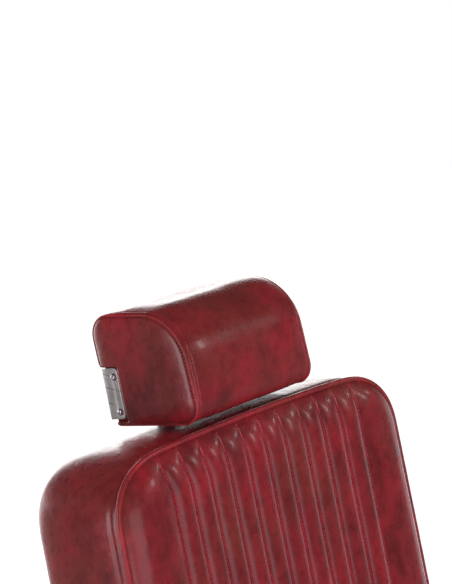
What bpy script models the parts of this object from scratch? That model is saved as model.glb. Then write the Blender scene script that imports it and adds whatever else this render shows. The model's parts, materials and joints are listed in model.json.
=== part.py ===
"""Hydraulic barber chair, at its real size, in metres, +Z up and its front towards -Y.

The origin is on the floor, under the pump, so that the pump's axis is the Z axis. Each moving group has a
parent empty on its joint's axis, and its pieces are drawn from that empty:

    base - lift (slides up) - seat (turns) - backrest (reclines) - headrest post (slides) - headrest (tilts)

The backrest, the headrest post and the headrest are drawn in the reclined frame, where Z runs up the back and
Y runs out of its rear face.
"""

import math

import bmesh
import bpy
from mathutils import Matrix, Vector

# ---------------------------------------------------------------- driving dimensions
GAP = 0.0003  # between pieces that touch
RUNNING = 0.0003  # radial clearance of a pin in its hole

BASE_R = 0.300
BASE_BOSS_R = 0.088
BASE_BOSS_Z = 0.052
BASE_WALL = 0.006
RIM_Z = 0.016

FLANGE_T = 0.010
HOUSING_R = 0.060
HOUSING_TOP = 0.262
CHAMBER_R = 0.0405
CHAMBER_Z = 0.078
ROD_R = 0.025
PISTON_T = 0.022
PISTON_Z = 0.082
TURNTABLE_Z = 0.300
TURNTABLE_R = 0.090
TURNTABLE_T = 0.012
SPINDLE_R = 0.018

PEDAL_AXIS = (0, 0.095, 0.092)
PEDAL_PIN_R = 0.005

FRAME_Z = 0.3325
FRAME_T = 0.008
RAIL_T = 0.025
RAIL_TOP = 0.372
FRAME_HALF_X = 0.230
FRAME_FRONT = -0.310
FRAME_REAR = 0.130
SEAT_PAN_T = 0.012
SEAT_HALF_X = 0.262
SEAT_FRONT = -0.340
SEAT_REAR = 0.165
SEAT_TOP = 0.500

ARM_X = 0.312
ARM_TUBE_R = 0.0135
ARM_TOP = 0.700
ARM_FOOT_Z = 0.356
ARM_PAD_T = 0.036

RECLINE_AXIS = (0, 0.200, 0.400)
RECLINE_REST = math.radians(14.55)
RECLINE_TRAVEL = math.radians(45)
RECLINE_PIN_R = 0.008
BACK_W = 0.540
BACK_TOP = 0.690
BACK_H = 0.600
BACK_FRONT = -0.040  # the plane of the front welt
BACK_T = 0.138
BACK_CROWN = 0.010
BACK_TAPER = 0.06
BACK_CORNER = (0.0957, 0.0774)
BACK_CORNER_POWER = 2.44
BACK_ARCH = 0.0078
BACK_LOW_CORNER = 0.060
BOARD_T = 0.012
PANEL_T = 0.0074

STRUT_X = 0.120
STRUT_ARM = 0.100
STRUT_R = 0.013
STRUT_ROD_R = 0.005

POST_HALF_X = 0.016
POST_T = 0.008
RECEIVER_Z = (0.560, 0.660)
HEADREST_W = 0.222
HEADREST_REAR = 0.0964  # rear face, in the reclined frame
HEADREST_LOW = 0.7061
TILT_AXIS = (0.118, 0.752)  # Y, Z in the reclined frame
TILT_PIN_R = 0.005
BRACKET_T = 0.003
BRACKET_Z = (0.7141, 0.7795)
BRACKET_DEPTH = 0.025

LEG_AXIS = (0, -0.335, 0.348)
LEG_ROD_R = 0.008
FOOT_FROM_LEG = (0, -0.120, -0.198)

# ---------------------------------------------------------------- helpers


def clear_scene():
    for obj in list(bpy.data.objects):
        bpy.data.objects.remove(obj, do_unlink=True)


def material(name, colour, roughness, metallic=0.0):
    made = bpy.data.materials.new(name)
    made.use_nodes = True
    shader = made.node_tree.nodes["Principled BSDF"]
    shader.inputs["Base Color"].default_value = (*colour, 1.0)
    shader.inputs["Roughness"].default_value = roughness
    shader.inputs["Metallic"].default_value = metallic
    return made


def axis_empty(name, location=(0, 0, 0), parent=None, lean=0.0):
    """An empty on a joint's axis. lean turns it back about X, so that its Z runs up a reclined back."""
    empty = bpy.data.objects.new(name, None)
    bpy.context.scene.collection.objects.link(empty)
    empty.location = location
    empty.rotation_euler = (-lean, 0, 0)
    empty.parent = parent
    return empty


def fillet(points, radii, steps=5, closed=True):
    """The points with each corner replaced by an arc of its radius. It works in two or three dimensions."""
    points = [Vector(p) for p in points]
    count = len(points)
    if isinstance(radii, (int, float)):
        radii = [radii] * count
    found = []
    for i, corner in enumerate(points):
        if radii[i] == 0 or (not closed and i in (0, count - 1)):
            found.append(corner)
            continue
        before = (points[i - 1] - corner).normalized()
        after = (points[(i + 1) % count] - corner).normalized()
        half = math.acos(max(-1.0, min(1.0, before.dot(after)))) / 2
        reach = radii[i] / math.tan(half)
        centre = corner + (before + after).normalized() * (radii[i] / math.sin(half))
        start = corner + before * reach - centre
        end = corner + after * reach - centre
        sweep = math.pi - 2 * half
        for k in range(steps + 1):
            share = k / steps
            first = math.sin((1 - share) * sweep)
            second = math.sin(share * sweep)
            found.append(centre + (start * first + end * second) / math.sin(sweep))
    return found


def circle(radius, steps=20, centre=(0, 0)):
    turns = [2 * math.pi * k / steps for k in range(steps)]
    return [Vector((centre[0] + radius * math.cos(a), centre[1] + radius * math.sin(a))) for a in turns]


def capsule(start, end, radius, steps=7):
    """The outline of a bar with round ends about two points."""
    start = Vector(start)
    end = Vector(end)
    heading = math.atan2(end.y - start.y, end.x - start.x)
    found = []
    for centre, first in ((end, heading - math.pi / 2), (start, heading + math.pi / 2)):
        for k in range(steps + 1):
            turn = first + math.pi * k / steps
            found.append(centre + Vector((math.cos(turn), math.sin(turn))) * radius)
    return found


def prism(outline, low, high, axis="Z"):
    """A closed outline pushed from low to high along an axis. The outline's plane is YZ, XZ or XY."""
    place = {
        "X": lambda p: (low, p[0], p[1]),
        "Y": lambda p: (p[0], low, p[1]),
        "Z": lambda p: (p[0], p[1], low),
    }[axis]
    shift = Vector({"X": (1, 0, 0), "Y": (0, 1, 0), "Z": (0, 0, 1)}[axis]) * (high - low)
    bm = bmesh.new()
    face = bm.faces.new([bm.verts.new(place(p)) for p in outline])
    pushed = bmesh.ops.extrude_face_region(bm, geom=[face])["geom"]
    bmesh.ops.translate(bm, verts=[v for v in pushed if isinstance(v, bmesh.types.BMVert)], vec=shift)
    return bm


def block(low, high):
    outline = [(low[0], low[1]), (high[0], low[1]), (high[0], high[1]), (low[0], high[1])]
    return prism(outline, low[2], high[2])


def rod(radius, low, high, axis="X", centre=(0, 0), steps=20):
    return prism(circle(radius, steps, centre), low, high, axis)


def turned(profile, steps=32, axis="Z", centre=(0, 0, 0)):
    """A closed profile of (radius, height) points spun about an axis."""
    bm = bmesh.new()
    verts = [bm.verts.new((r, 0, z)) for r, z in profile]
    edges = [bm.edges.new((verts[i - 1], verts[i])) for i in range(len(verts))]
    bmesh.ops.spin(
        bm, geom=verts + edges, axis=(0, 0, 1), cent=(0, 0, 0), angle=2 * math.pi, steps=steps, use_merge=True
    )
    bmesh.ops.remove_doubles(bm, verts=bm.verts, dist=1e-6)
    if axis == "X":
        bm.transform(Matrix.Rotation(math.pi / 2, 4, "Y"))
    if axis == "Y":
        bm.transform(Matrix.Rotation(-math.pi / 2, 4, "X"))
    bm.transform(Matrix.Translation(centre))
    return bm


def swept(points, radius, sides=3):
    """A round tube along the points, as Blender draws it from a bevelled curve."""
    curve = bpy.data.curves.new("path", "CURVE")
    curve.dimensions = "3D"
    curve.bevel_depth = radius
    curve.bevel_resolution = sides
    curve.use_fill_caps = True
    spline = curve.splines.new("POLY")
    spline.points.add(len(points) - 1)
    for place, point in zip(spline.points, points):
        place.co = (*point, 1.0)
    guide = bpy.data.objects.new("path", curve)
    bpy.context.scene.collection.objects.link(guide)
    bpy.context.view_layer.update()
    graph = bpy.context.evaluated_depsgraph_get()
    mesh = bpy.data.meshes.new_from_object(guide.evaluated_get(graph))
    bpy.data.objects.remove(guide, do_unlink=True)
    bm = bmesh.new()
    bm.from_mesh(mesh)
    bpy.data.meshes.remove(mesh)
    return bm


def mesh_object(name, bm, parent):
    bmesh.ops.remove_doubles(bm, verts=bm.verts, dist=1e-6)
    bmesh.ops.recalc_face_normals(bm, faces=bm.faces)
    mesh = bpy.data.meshes.new(name)
    bm.to_mesh(mesh)
    bm.free()
    obj = bpy.data.objects.new(name, mesh)
    bpy.context.scene.collection.objects.link(obj)
    obj.parent = parent
    return obj


def piece(name, bm, mat, parent=None, joins=(), cuts=(), bevel=0.0, bevel_steps=2):
    """One named sub-part. joins are shapes made one with it, cuts are shapes taken out of it."""
    obj = mesh_object(name, bm, parent)
    obj.data.materials.append(mat)
    obj.data.shade_smooth()
    obj.data.set_sharp_from_angle(angle=math.radians(40))
    for operation, shapes in (("UNION", joins), ("DIFFERENCE", cuts)):
        for shape in shapes:
            helper = mesh_object(f"{name}.{operation.lower()}", shape, parent)
            helper.hide_render = True
            helper.display_type = "WIRE"
            modifier = obj.modifiers.new(operation.lower(), "BOOLEAN")
            modifier.operation = operation
            modifier.object = helper
    if bevel:
        rounding = obj.modifiers.new("rounding", "BEVEL")
        rounding.width = bevel
        rounding.segments = bevel_steps
        rounding.limit_method = "ANGLE"
        rounding.angle_limit = math.radians(50)
    return obj


def strip(start, end, near, far):
    """A rectangle along a line in YZ, from near to far on its left-hand side."""
    start = Vector(start)
    end = Vector(end)
    along = (end - start).normalized()
    side = Vector((-along.y, along.x))
    return [start + side * near, end + side * near, end + side * far, start + side * far]


# ---------------------------------------------------------------- base and pump


def make_base(steel, chrome, rubber, zinc):
    crown = [(0.110, 0.0505), (0.150, 0.042), (0.200, 0.031), (0.250, 0.022), (BASE_R - 0.012, RIM_Z)]
    hollow = [(r, z - BASE_WALL) for r, z in reversed(crown)]
    profile = [(0, 0), (0, BASE_BOSS_Z), (BASE_BOSS_R, BASE_BOSS_Z), *crown, (BASE_R, RIM_Z - 0.006)]
    profile += [(BASE_R, 0), (BASE_R - 0.010, 0), *hollow, (BASE_BOSS_R, 0.040), (BASE_BOSS_R, 0)]
    bolt_circle = BASE_BOSS_R - 0.012
    spots = [(bolt_circle * math.cos(a), bolt_circle * math.sin(a)) for a in quarter_turns()]
    floor = BASE_BOSS_Z - 0.020
    piece(
        "base_plate",
        turned(profile, 44),
        chrome,
        cuts=[rod(0.0046, floor, BASE_BOSS_Z + 0.02, "Z", spot, 12) for spot in spots],
    )
    ring = [(BASE_R + GAP, 0), (BASE_R + 0.006, 0), (BASE_R + 0.007, 0.006), (BASE_R + 0.004, 0.011)]
    piece("base_edge_ring", turned(ring + [(BASE_R + GAP, 0.011)], 44), rubber)

    low = BASE_BOSS_Z + GAP
    top = low + FLANGE_T
    body = [(0, low), (BASE_BOSS_R, low), (BASE_BOSS_R, top - 0.002), (BASE_BOSS_R - 0.002, top)]
    body += [(HOUSING_R + 0.002, top), (HOUSING_R, top + 0.004), (HOUSING_R, HOUSING_TOP - 0.004)]
    body += [(HOUSING_R - 0.003, HOUSING_TOP), (CHAMBER_R, HOUSING_TOP), (CHAMBER_R, CHAMBER_Z), (0, CHAMBER_Z)]
    ear = fillet([(0.050, top - 0.002), (0.110, top - 0.002), (0.110, 0.107), (0.050, 0.107)], [0, 0, 0.012, 0])
    piece(
        "pump_housing",
        turned(body),
        steel,
        joins=[prism(ear, side - 0.005, side + 0.005, "X") for side in (-0.0155, 0.0155)],
        cuts=[rod(0.0046, low - 0.01, top + 0.01, "Z", spot, 12) for spot in spots]
        + [rod(PEDAL_PIN_R + RUNNING, -0.03, 0.03, "X", PEDAL_AXIS[1:], 20)],
    )
    cover_low = 0.116
    cover = [(HOUSING_R + 0.0005, cover_low), (HOUSING_R + 0.0065, cover_low), (HOUSING_R + 0.0065, 0.120)]
    cover += [(HOUSING_R + 0.004, 0.124), (HOUSING_R + 0.004, 0.238), (HOUSING_R + 0.0015, 0.242)]
    piece("pump_cover", turned(cover + [(HOUSING_R + 0.0005, 0.242)]), chrome)

    nut_low = HOUSING_TOP + GAP
    nut = [(ROD_R + 0.0005, nut_low - 0.012), (CHAMBER_R - 0.0005, nut_low - 0.012), (CHAMBER_R - 0.0005, nut_low)]
    nut += [(0.050, nut_low), (0.050, nut_low + 0.008), (0.044, nut_low + 0.013), (ROD_R + 0.0005, nut_low + 0.013)]
    piece("gland_nut", turned(nut, 28), chrome)
    wiper_low = nut_low + 0.013 + GAP
    wiper = [(ROD_R + 0.0004, wiper_low), (0.034, wiper_low), (0.032, wiper_low + 0.003)]
    piece("rod_wiper", turned(wiper + [(ROD_R + 0.0004, wiper_low + 0.005)], 24), rubber)

    for number, spot in enumerate(spots, 1):
        head_low = top + GAP
        piece(
            f"flange_bolt_{number}",
            rod(0.0042, BASE_BOSS_Z - 0.018, head_low + 0.004, "Z", spot, 12),
            zinc,
            joins=[
                rod(0.0095, head_low, head_low + 0.0016, "Z", spot, 20),
                rod(0.0080, head_low + 0.0010, head_low + 0.0072, "Z", spot, 6),
            ],
        )
    pin = rod(PEDAL_PIN_R, -0.0235, 0.0235, "X", PEDAL_AXIS[1:], 20)
    piece("pedal_pin", pin, zinc)


def quarter_turns():
    return [math.radians(45 + 90 * k) for k in range(4)]


def make_pedal(chrome, rubber):
    axis = axis_empty("pedal_axis", PEDAL_AXIS)
    side = [(-0.013, -0.013), (0.022, -0.013), (0.105, -0.004), (0.205, 0.012), (0.265, 0.012), (0.265, 0.018)]
    side += [(0.195, 0.018), (0.105, 0.011), (0.022, 0.013), (-0.013, 0.013)]
    radii = [0.012, 0.02, 0.05, 0.02, 0, 0, 0.02, 0.05, 0.02, 0.012]
    plate = fillet([(-0.034, 0.208), (0.034, 0.208), (0.034, 0.266), (-0.034, 0.266)], 0.010)
    piece(
        "pedal_lever",
        prism(fillet(side, radii, 3), -0.009, 0.009, "X"),
        chrome,
        axis,
        joins=[prism(plate, 0.0125, 0.0185)],
        cuts=[rod(PEDAL_PIN_R + RUNNING, -0.02, 0.02, "X", (0, 0), 20)],
    )
    sole = fillet([(-0.036, 0.206), (0.036, 0.206), (0.036, 0.268), (-0.036, 0.268)], 0.012)
    piece("pedal_pad", prism(sole, 0.0188, 0.0300), rubber, axis, bevel=0.003)


# ---------------------------------------------------------------- lift and turntable


def make_lift(steel, chrome, zinc):
    lift = axis_empty("lift_axis")
    top = TURNTABLE_Z
    stem = [(0, PISTON_Z), (CHAMBER_R - 0.0008, PISTON_Z), (CHAMBER_R - 0.0008, PISTON_Z + PISTON_T)]
    stem += [(ROD_R, PISTON_Z + PISTON_T), (ROD_R, top), (SPINDLE_R, top), (SPINDLE_R, top + 0.046), (0, top + 0.046)]
    piece("piston_rod", turned(stem, 24), chrome, lift)
    low = top + GAP
    high = low + TURNTABLE_T
    lower = [(SPINDLE_R + GAP, low), (TURNTABLE_R - 0.030, low), (TURNTABLE_R, low + 0.006), (TURNTABLE_R, high)]
    piece("turntable_lower", turned(lower + [(SPINDLE_R + GAP, high)]), steel, lift)
    race_low = high + GAP
    race = [(0.032, race_low), (0.070, race_low), (0.070, race_low + 0.007), (0.032, race_low + 0.007)]
    piece("thrust_bearing", turned(race, 28), zinc, lift)
    nut_low = FRAME_Z + GAP
    nut = rod(0.026, nut_low, nut_low + 0.010, "Z", (0, 0), 6)
    piece("spindle_nut", nut, zinc, lift, cuts=[rod(SPINDLE_R + GAP, 0.30, 0.36, "Z", (0, 0), 24)])
    return lift


# ---------------------------------------------------------------- seat


def make_seat(lift, steel, chrome, wood, leather, zinc):
    seat = axis_empty("swivel_axis", parent=lift)
    low = 0.3203
    plate = [(SPINDLE_R + 0.0008, low), (TURNTABLE_R + 0.005, low), (TURNTABLE_R + 0.005, FRAME_Z - GAP)]
    piece("turntable_upper", turned(plate + [(SPINDLE_R + 0.0008, FRAME_Z - GAP)]), steel, seat)
    make_seat_frame(seat, steel)
    pan_low = RAIL_TOP + GAP
    pan_high = pan_low + SEAT_PAN_T
    pan = [(-0.229, -0.320), (0.229, -0.320), (0.229, 0.150), (-0.229, 0.150)]
    piece("seat_pan", prism(fillet(pan, 0.03), pan_low, pan_high), wood, seat)
    half = SEAT_HALF_X
    cushion = [(-half, SEAT_FRONT), (half, SEAT_FRONT), (half, SEAT_REAR), (-half, SEAT_REAR)]
    outline = fillet(cushion, [0.06, 0.06, 0.03, 0.03])
    piece("seat_cushion", prism(outline, pan_high + GAP, SEAT_TOP), leather, seat, bevel=0.02, bevel_steps=3)
    for side, sign in (("left", -1), ("right", 1)):
        make_arm(side, sign, seat, chrome, leather)
        bracket = [(0.084, 0.341), (0.160, 0.345), (0.222, 0.378), (0.222, 0.422), (0.176, 0.422), (0.172, 0.378)]
        bracket += [(0.084, 0.371)]
        near, far = sorted((sign * (FRAME_HALF_X + GAP), sign * (FRAME_HALF_X + 0.008)))
        piece(
            f"hinge_bracket_{side}",
            prism(fillet(bracket, [0.004, 0.03, 0.018, 0.018, 0.018, 0.008, 0.004]), near, far, "X"),
            steel,
            seat,
            cuts=[rod(RECLINE_PIN_R + RUNNING, -0.3, 0.3, "X", RECLINE_AXIS[1:])],
        )
    piece("legrest_rod", rod(LEG_ROD_R, -0.172, 0.172, "X", LEG_AXIS[1:]), zinc, seat)
    make_strut_cylinder(seat, steel)
    return seat


def make_seat_frame(seat, steel):
    """A steel tray with its rails folded up, the leg rest's lugs, the strut's anchor and the lever's stub."""
    half = FRAME_HALF_X
    under = FRAME_Z
    join = FRAME_Z + 0.004
    rails = [
        block((-half, FRAME_FRONT, join), (-half + RAIL_T, FRAME_REAR, RAIL_TOP)),
        block((half - RAIL_T, FRAME_FRONT, join), (half, FRAME_REAR, RAIL_TOP)),
        block((-half + 0.01, FRAME_FRONT, join), (half - 0.01, FRAME_FRONT + RAIL_T, RAIL_TOP)),
        block((-half + 0.01, FRAME_REAR - RAIL_T, join), (half - 0.01, FRAME_REAR, RAIL_TOP)),
    ]
    lug = fillet([(-0.351, 0.333), (-0.300, 0.333), (-0.300, 0.364), (-0.351, 0.364)], [0.012, 0, 0, 0.012])
    lugs = [prism(lug, x - 0.005, x + 0.005, "X") for x in (-0.165, 0.165)]
    y, z = strut_anchor()
    ear = fillet([(y - 0.013, z - 0.013), (y + 0.013, z - 0.013), (y + 0.013, join), (y - 0.013, join)], [0.01, 0.01, 0, 0])
    ears = [prism(ear, STRUT_X + x - 0.00225, STRUT_X + x + 0.00225, "X") for x in (-0.01025, 0.01025)]
    anchor_pin = rod(0.005, STRUT_X - 0.011, STRUT_X + 0.011, "X", (y, z), 20)
    stub = rod(0.007, half - 0.01, 0.272, "X", lever_axis()[1:], 20)
    piece(
        "seat_frame",
        block((-half, FRAME_FRONT, under), (half, FRAME_REAR, under + FRAME_T)),
        steel,
        seat,
        joins=[*rails, *lugs, *ears, anchor_pin, stub],
        cuts=[
            rod(0.034, under - 0.01, under + 0.02, "Z", (0, 0), 24),
            rod(LEG_ROD_R + RUNNING, -0.2, 0.2, "X", LEG_AXIS[1:]),
        ],
    )


def lever_axis():
    return (0.265, 0.004, 0.352)


def strut_pin_offset():
    """From the recline axis to the strut's pin at rest: it swings evenly to both sides of straight down."""
    half = RECLINE_TRAVEL / 2
    return STRUT_ARM * math.sin(half), -STRUT_ARM * math.cos(half)


def strut_height():
    """The strut lies halfway up the arc that its pin swings on."""
    rise = STRUT_ARM * (1 - math.cos(RECLINE_TRAVEL / 2))
    return RECLINE_AXIS[2] + strut_pin_offset()[1] - rise / 2


def strut_anchor():
    return (-0.155, strut_height())


def make_arm(side, sign, seat, chrome, leather):
    """A chrome tube bent into an arm, on two round flanges, with a padded top."""
    start = FRAME_HALF_X + 0.004
    route = [(start, -0.215, ARM_FOOT_Z), (ARM_X, -0.215, ARM_FOOT_Z), (ARM_X, -0.245, ARM_TOP)]
    route += [(ARM_X, 0.075, ARM_TOP), (ARM_X, 0.050, ARM_FOOT_Z), (start, 0.050, ARM_FOOT_Z)]
    path = fillet([(sign * x, y, z) for x, y, z in route], [0, 0.035, 0.055, 0.055, 0.035, 0], 5, closed=False)
    near, far = sorted((sign * (FRAME_HALF_X + GAP), sign * (FRAME_HALF_X + 0.0083)))
    flanges = [rod(0.026, near, far, "X", (y, ARM_FOOT_Z), 20) for y in (-0.215, 0.050)]
    piece(f"arm_frame_{side}", swept(path, ARM_TUBE_R), chrome, seat, joins=flanges)
    half = 0.028
    pad = [(ARM_X - half, -0.268), (ARM_X + half, -0.268), (ARM_X + half, 0.088), (ARM_X - half, 0.088)]
    low = ARM_TOP + ARM_TUBE_R + GAP
    outline = fillet([(sign * x, y) for x, y in pad], 0.020)
    piece(f"arm_pad_{side}", prism(outline, low, low + ARM_PAD_T), leather, seat, bevel=0.008)


def make_strut_cylinder(seat, steel):
    anchor_y, height = strut_anchor()
    front = anchor_y + 0.018
    rear = 0.045
    bore = STRUT_ROD_R + 0.0006
    body = [(0, front), (STRUT_R - 0.002, front), (STRUT_R, front + 0.004), (STRUT_R, rear - 0.004)]
    body += [(STRUT_R - 0.003, rear), (bore, rear), (bore, front + 0.020), (0, front + 0.020)]
    eye = capsule((anchor_y, height), (front + 0.004, height), 0.0115)
    piece(
        "strut_cylinder",
        turned(body, 20, "Y", (STRUT_X, 0, height)),
        steel,
        seat,
        joins=[prism(eye, STRUT_X - 0.006, STRUT_X + 0.006, "X")],
        cuts=[rod(0.0055, STRUT_X - 0.02, STRUT_X + 0.02, "X", (anchor_y, height), 20)],
    )


def make_strut_rod(seat, chrome):
    """The rod and its fork. The fork's slots leave room for the arc of the pin, where the linkage is open."""
    axis = axis_empty("strut_axis", (STRUT_X, 0, strut_height()), seat)
    pin_y = RECLINE_AXIS[1] + strut_pin_offset()[0]
    rise = STRUT_ARM * (1 - math.cos(RECLINE_TRAVEL / 2)) / 2
    fork_rear = pin_y + 0.0137
    fork_base = pin_y - 0.020
    slot = capsule((pin_y, -rise), (pin_y, rise), 0.0056)
    piece(
        "strut_rod",
        rod(STRUT_ROD_R, -0.030, fork_base - 0.003, "Y", (0, 0), 20),
        chrome,
        axis,
        joins=[block((-0.0135, fork_base - 0.010, -0.0165), (0.0135, fork_rear, 0.0165))],
        cuts=[
            block((-0.0070, fork_base, -0.03), (0.0070, fork_rear + 0.01, 0.03)),
            prism(slot, -0.03, 0.03, "X"),
        ],
    )


def make_recline_lever(seat, steel, plastic):
    axis = axis_empty("lever_axis", lever_axis(), seat)
    piece(
        "recline_lever",
        prism(capsule((0, 0), (-0.095, -0.004), 0.011), -0.003, 0.003, "X"),
        steel,
        axis,
        joins=[rod(0.0045, -0.178, -0.080, "Y", (0, -0.004), 16)],
        cuts=[rod(0.0073, -0.02, 0.02, "X", (0, 0), 20)],
    )
    grip = [(0.0048, -0.182), (0.0085, -0.182), (0.0105, -0.176), (0.0115, -0.146), (0.0095, -0.112)]
    grip += [(0.0075, -0.108), (0.0048, -0.108)]
    piece("lever_grip", turned(grip, 20, "Y", (0, 0, -0.004)), plastic, axis)


# ---------------------------------------------------------------- leg rest and footplate


def make_legrest(seat, steel, chrome, wood, leather, rubber, zinc):
    axis = axis_empty("legrest_axis", LEG_AXIS, seat)
    foot = FOOT_FROM_LEG[1:]
    for side, near, far in (("left", -0.158, -0.150), ("right", 0.150, 0.158)):
        piece(
            f"legrest_arm_{side}",
            prism(capsule((0, 0), foot, 0.016), near, far, "X"),
            steel,
            axis,
            cuts=[rod(LEG_ROD_R + RUNNING, -0.2, 0.2, "X", spot) for spot in ((0, 0), foot)],
        )
    along = Vector(foot).normalized()
    front = -1  # the leg rest's front is on the right-hand side of the line that runs down it
    board = strip(along * 0.028, along * 0.158, front * 0.0103, 0)
    piece("calf_board", prism(board, -0.1495, 0.1495, "X"), wood, axis)
    pad = fillet(strip(along * 0.022, along * 0.158, front * 0.046, front * 0.0106), [0.018, 0.018, 0, 0])
    piece("calf_pad", prism(pad, -0.145, 0.145, "X"), leather, axis, bevel=0.008)
    piece("footplate_rod", rod(LEG_ROD_R, -0.166, 0.166, "X", foot), zinc, axis)

    plate_axis = axis_empty("footplate_axis", FOOT_FROM_LEG, axis)
    plate = fillet([(-0.145, -0.175), (0.145, -0.175), (0.145, -0.006), (-0.145, -0.006)], [0.03, 0.03, 0.004, 0.004])
    piece(
        "footplate",
        prism(plate, -0.005, 0.005),
        chrome,
        plate_axis,
        joins=[rod(0.0135, low, low + 0.040, "X") for low in (-0.135, 0.095)],
        cuts=[rod(LEG_ROD_R + RUNNING, -0.2, 0.2, "X")],
    )
    mat = fillet([(-0.125, -0.162), (0.125, -0.162), (0.125, -0.034), (-0.125, -0.034)], 0.015)
    piece("footplate_mat", prism(mat, 0.0053, 0.0103), rubber, plate_axis)


# ---------------------------------------------------------------- backrest


def back_half_width(height):
    """Half the back's width at a height above the recline axis: it grows a little downwards."""
    drop = min(BACK_TOP - height, 0.30)
    return BACK_W / 2 * (1 + BACK_TAPER * drop)


def back_outline(inset=0.0, steps=9):
    """The back seen from the front: flat sides, soft squarish top corners, a slightly arched top."""
    half = BACK_W / 2
    reach_x, reach_z = BACK_CORNER
    power = 2 / BACK_CORNER_POWER
    right = []
    for k in range(steps + 1):
        turn = math.pi / 2 * k / steps
        x = half - reach_x + reach_x * math.cos(turn) ** power
        z = BACK_TOP - reach_z + reach_z * math.sin(turn) ** power
        right.append((x, z))
    right += [(0.12, BACK_TOP), (0.06, BACK_TOP)]
    right = [(x * back_half_width(z) / half, z - BACK_ARCH * (x / half) ** 2) for x, z in right]
    low = BACK_TOP - BACK_H
    wide = back_half_width(low)
    middle = (back_half_width(BACK_TOP - 0.30), BACK_TOP - 0.30)
    corner = fillet([(0, low), (wide, low), (wide, low + 0.2)], [0, BACK_LOW_CORNER, 0], 6, closed=False)[1:-1]
    right = [*corner, middle, *right]
    left = [(-x, z) for x, z in reversed(right)]
    points = [Vector(p) for p in [*right, (0, BACK_TOP), *left]]
    if not inset:
        return points
    centre = Vector((0, BACK_TOP - BACK_H / 2))
    size = Vector((BACK_W / 2, BACK_H / 2))
    return [Vector((p.x * (1 - inset / size.x), centre.y + (p.y - centre.y) * (1 - inset / size.y))) for p in points]


def to_reclined(y, z):
    """A step in world Y and Z, in the reclined frame."""
    lean = RECLINE_REST
    return y * math.cos(lean) - z * math.sin(lean), y * math.sin(lean) + z * math.cos(lean)


def make_backrest(seat, steel, wood, leather, chrome, zinc):
    axis = axis_empty("recline_axis", RECLINE_AXIS, seat, RECLINE_REST)
    rear = BACK_FRONT + BACK_T
    panel_low = rear - PANEL_T
    board_low = panel_low - GAP - BOARD_T
    front = BACK_FRONT - BACK_CROWN
    cushion = prism(back_outline(), front, board_low - GAP, "Y")
    piece("backrest_cushion", cushion, leather, axis, bevel=0.012)
    piece("back_board", prism(back_outline(0.012, 5), board_low, board_low + BOARD_T, "Y"), wood, axis)
    piece("back_panel", prism(back_outline(0.006, 7), panel_low, rear, "Y"), leather, axis)

    seat_y = rear + GAP
    web = [(-0.022, -0.020), (0.020, -0.024), (seat_y + 0.022, 0.068), (seat_y + 0.022, 0.330), (seat_y, 0.330)]
    web += [(seat_y, 0.080), (0.030, 0.052), (-0.022, 0.024)]
    for side, sign in (("left", -1), ("right", 1)):
        near, far = sorted((sign * 0.2403, sign * 0.2483))
        foot_near, foot_far = sorted((sign * 0.2050, sign * 0.2450))
        foot = fillet([(foot_near, 0.120), (foot_far, 0.120), (foot_far, 0.330), (foot_near, 0.330)], 0.006, 3)
        piece(
            f"hinge_strap_{side}",
            prism(fillet(web, [0.02, 0.02, 0.03, 0.004, 0, 0, 0.02, 0.02], 4), near, far, "X"),
            steel,
            axis,
            joins=[prism(foot, seat_y, seat_y + 0.005, "Y")],
            cuts=[rod(RECLINE_PIN_R + RUNNING, -0.3, 0.3, "X")],
        )
        start, end = sorted((sign * 0.206, sign * 0.250))
        head_near, head_far = sorted((sign * 0.2486, sign * 0.2540))
        pin = rod(RECLINE_PIN_R, start, end, "X")
        piece(f"recline_pin_{side}", pin, zinc, axis, joins=[rod(0.0135, head_near, head_far, "X")])

    pin_spot = to_reclined(*strut_pin_offset())
    bores = [rod(RECLINE_PIN_R + RUNNING, low, low + 0.1, "X") for low in (-0.304, 0.204)]
    piece(
        "torque_tube",
        rod(0.013, -0.2298, 0.2298, "X"),
        steel,
        axis,
        joins=[prism(capsule((0, 0), pin_spot, 0.0115), STRUT_X - 0.006, STRUT_X + 0.006, "X")],
        cuts=[*bores, rod(0.0053, STRUT_X - 0.02, STRUT_X + 0.02, "X", pin_spot, 20)],
    )
    piece("strut_pin", rod(0.005, STRUT_X - 0.0155, STRUT_X + 0.0155, "X", pin_spot, 20), zinc, axis)

    low, high = RECEIVER_Z
    slot_near = seat_y + 0.0065
    slot = block((-POST_HALF_X - 0.0006, slot_near, low - 0.02), (POST_HALF_X + 0.0006, slot_near + 0.009, high + 0.02))
    knob_z = (low + high) / 2
    flange = fillet([(-0.046, low + 0.012), (0.046, low + 0.012), (0.046, high - 0.012), (-0.046, high - 0.012)], 0.008)
    piece(
        "headrest_receiver",
        block((-0.026, seat_y, low), (0.026, seat_y + 0.022, high)),
        chrome,
        axis,
        joins=[prism(flange, seat_y, seat_y + 0.004, "Y")],
        cuts=[slot, rod(0.0045, seat_y + 0.012, seat_y + 0.03, "Y", (0, knob_z), 20)],
    )
    return axis


def make_knob(back, plastic):
    """The clamp knob. Its screw presses the headrest's post in the receiver."""
    rear = BACK_FRONT + BACK_T + GAP
    knob_z = sum(RECEIVER_Z) / 2
    axis = axis_empty("knob_axis", (0, rear, knob_z), back)
    rim = []
    lobes = 8
    for k in range(lobes * 4):
        turn = 2 * math.pi * k / (lobes * 4)
        radius = 0.0195 + 0.0015 * math.cos(lobes * turn)
        rim.append((radius * math.cos(turn), radius * math.sin(turn)))
    shank = rod(0.0040, 0.0162, 0.0300, "Y", (0, 0), 16)
    collar = rod(0.0100, 0.0224, 0.0300, "Y", (0, 0), 20)
    piece("lock_knob", prism(rim, 0.0264, 0.0400, "Y"), plastic, axis, joins=[shank, collar])


# ---------------------------------------------------------------- headrest


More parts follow.
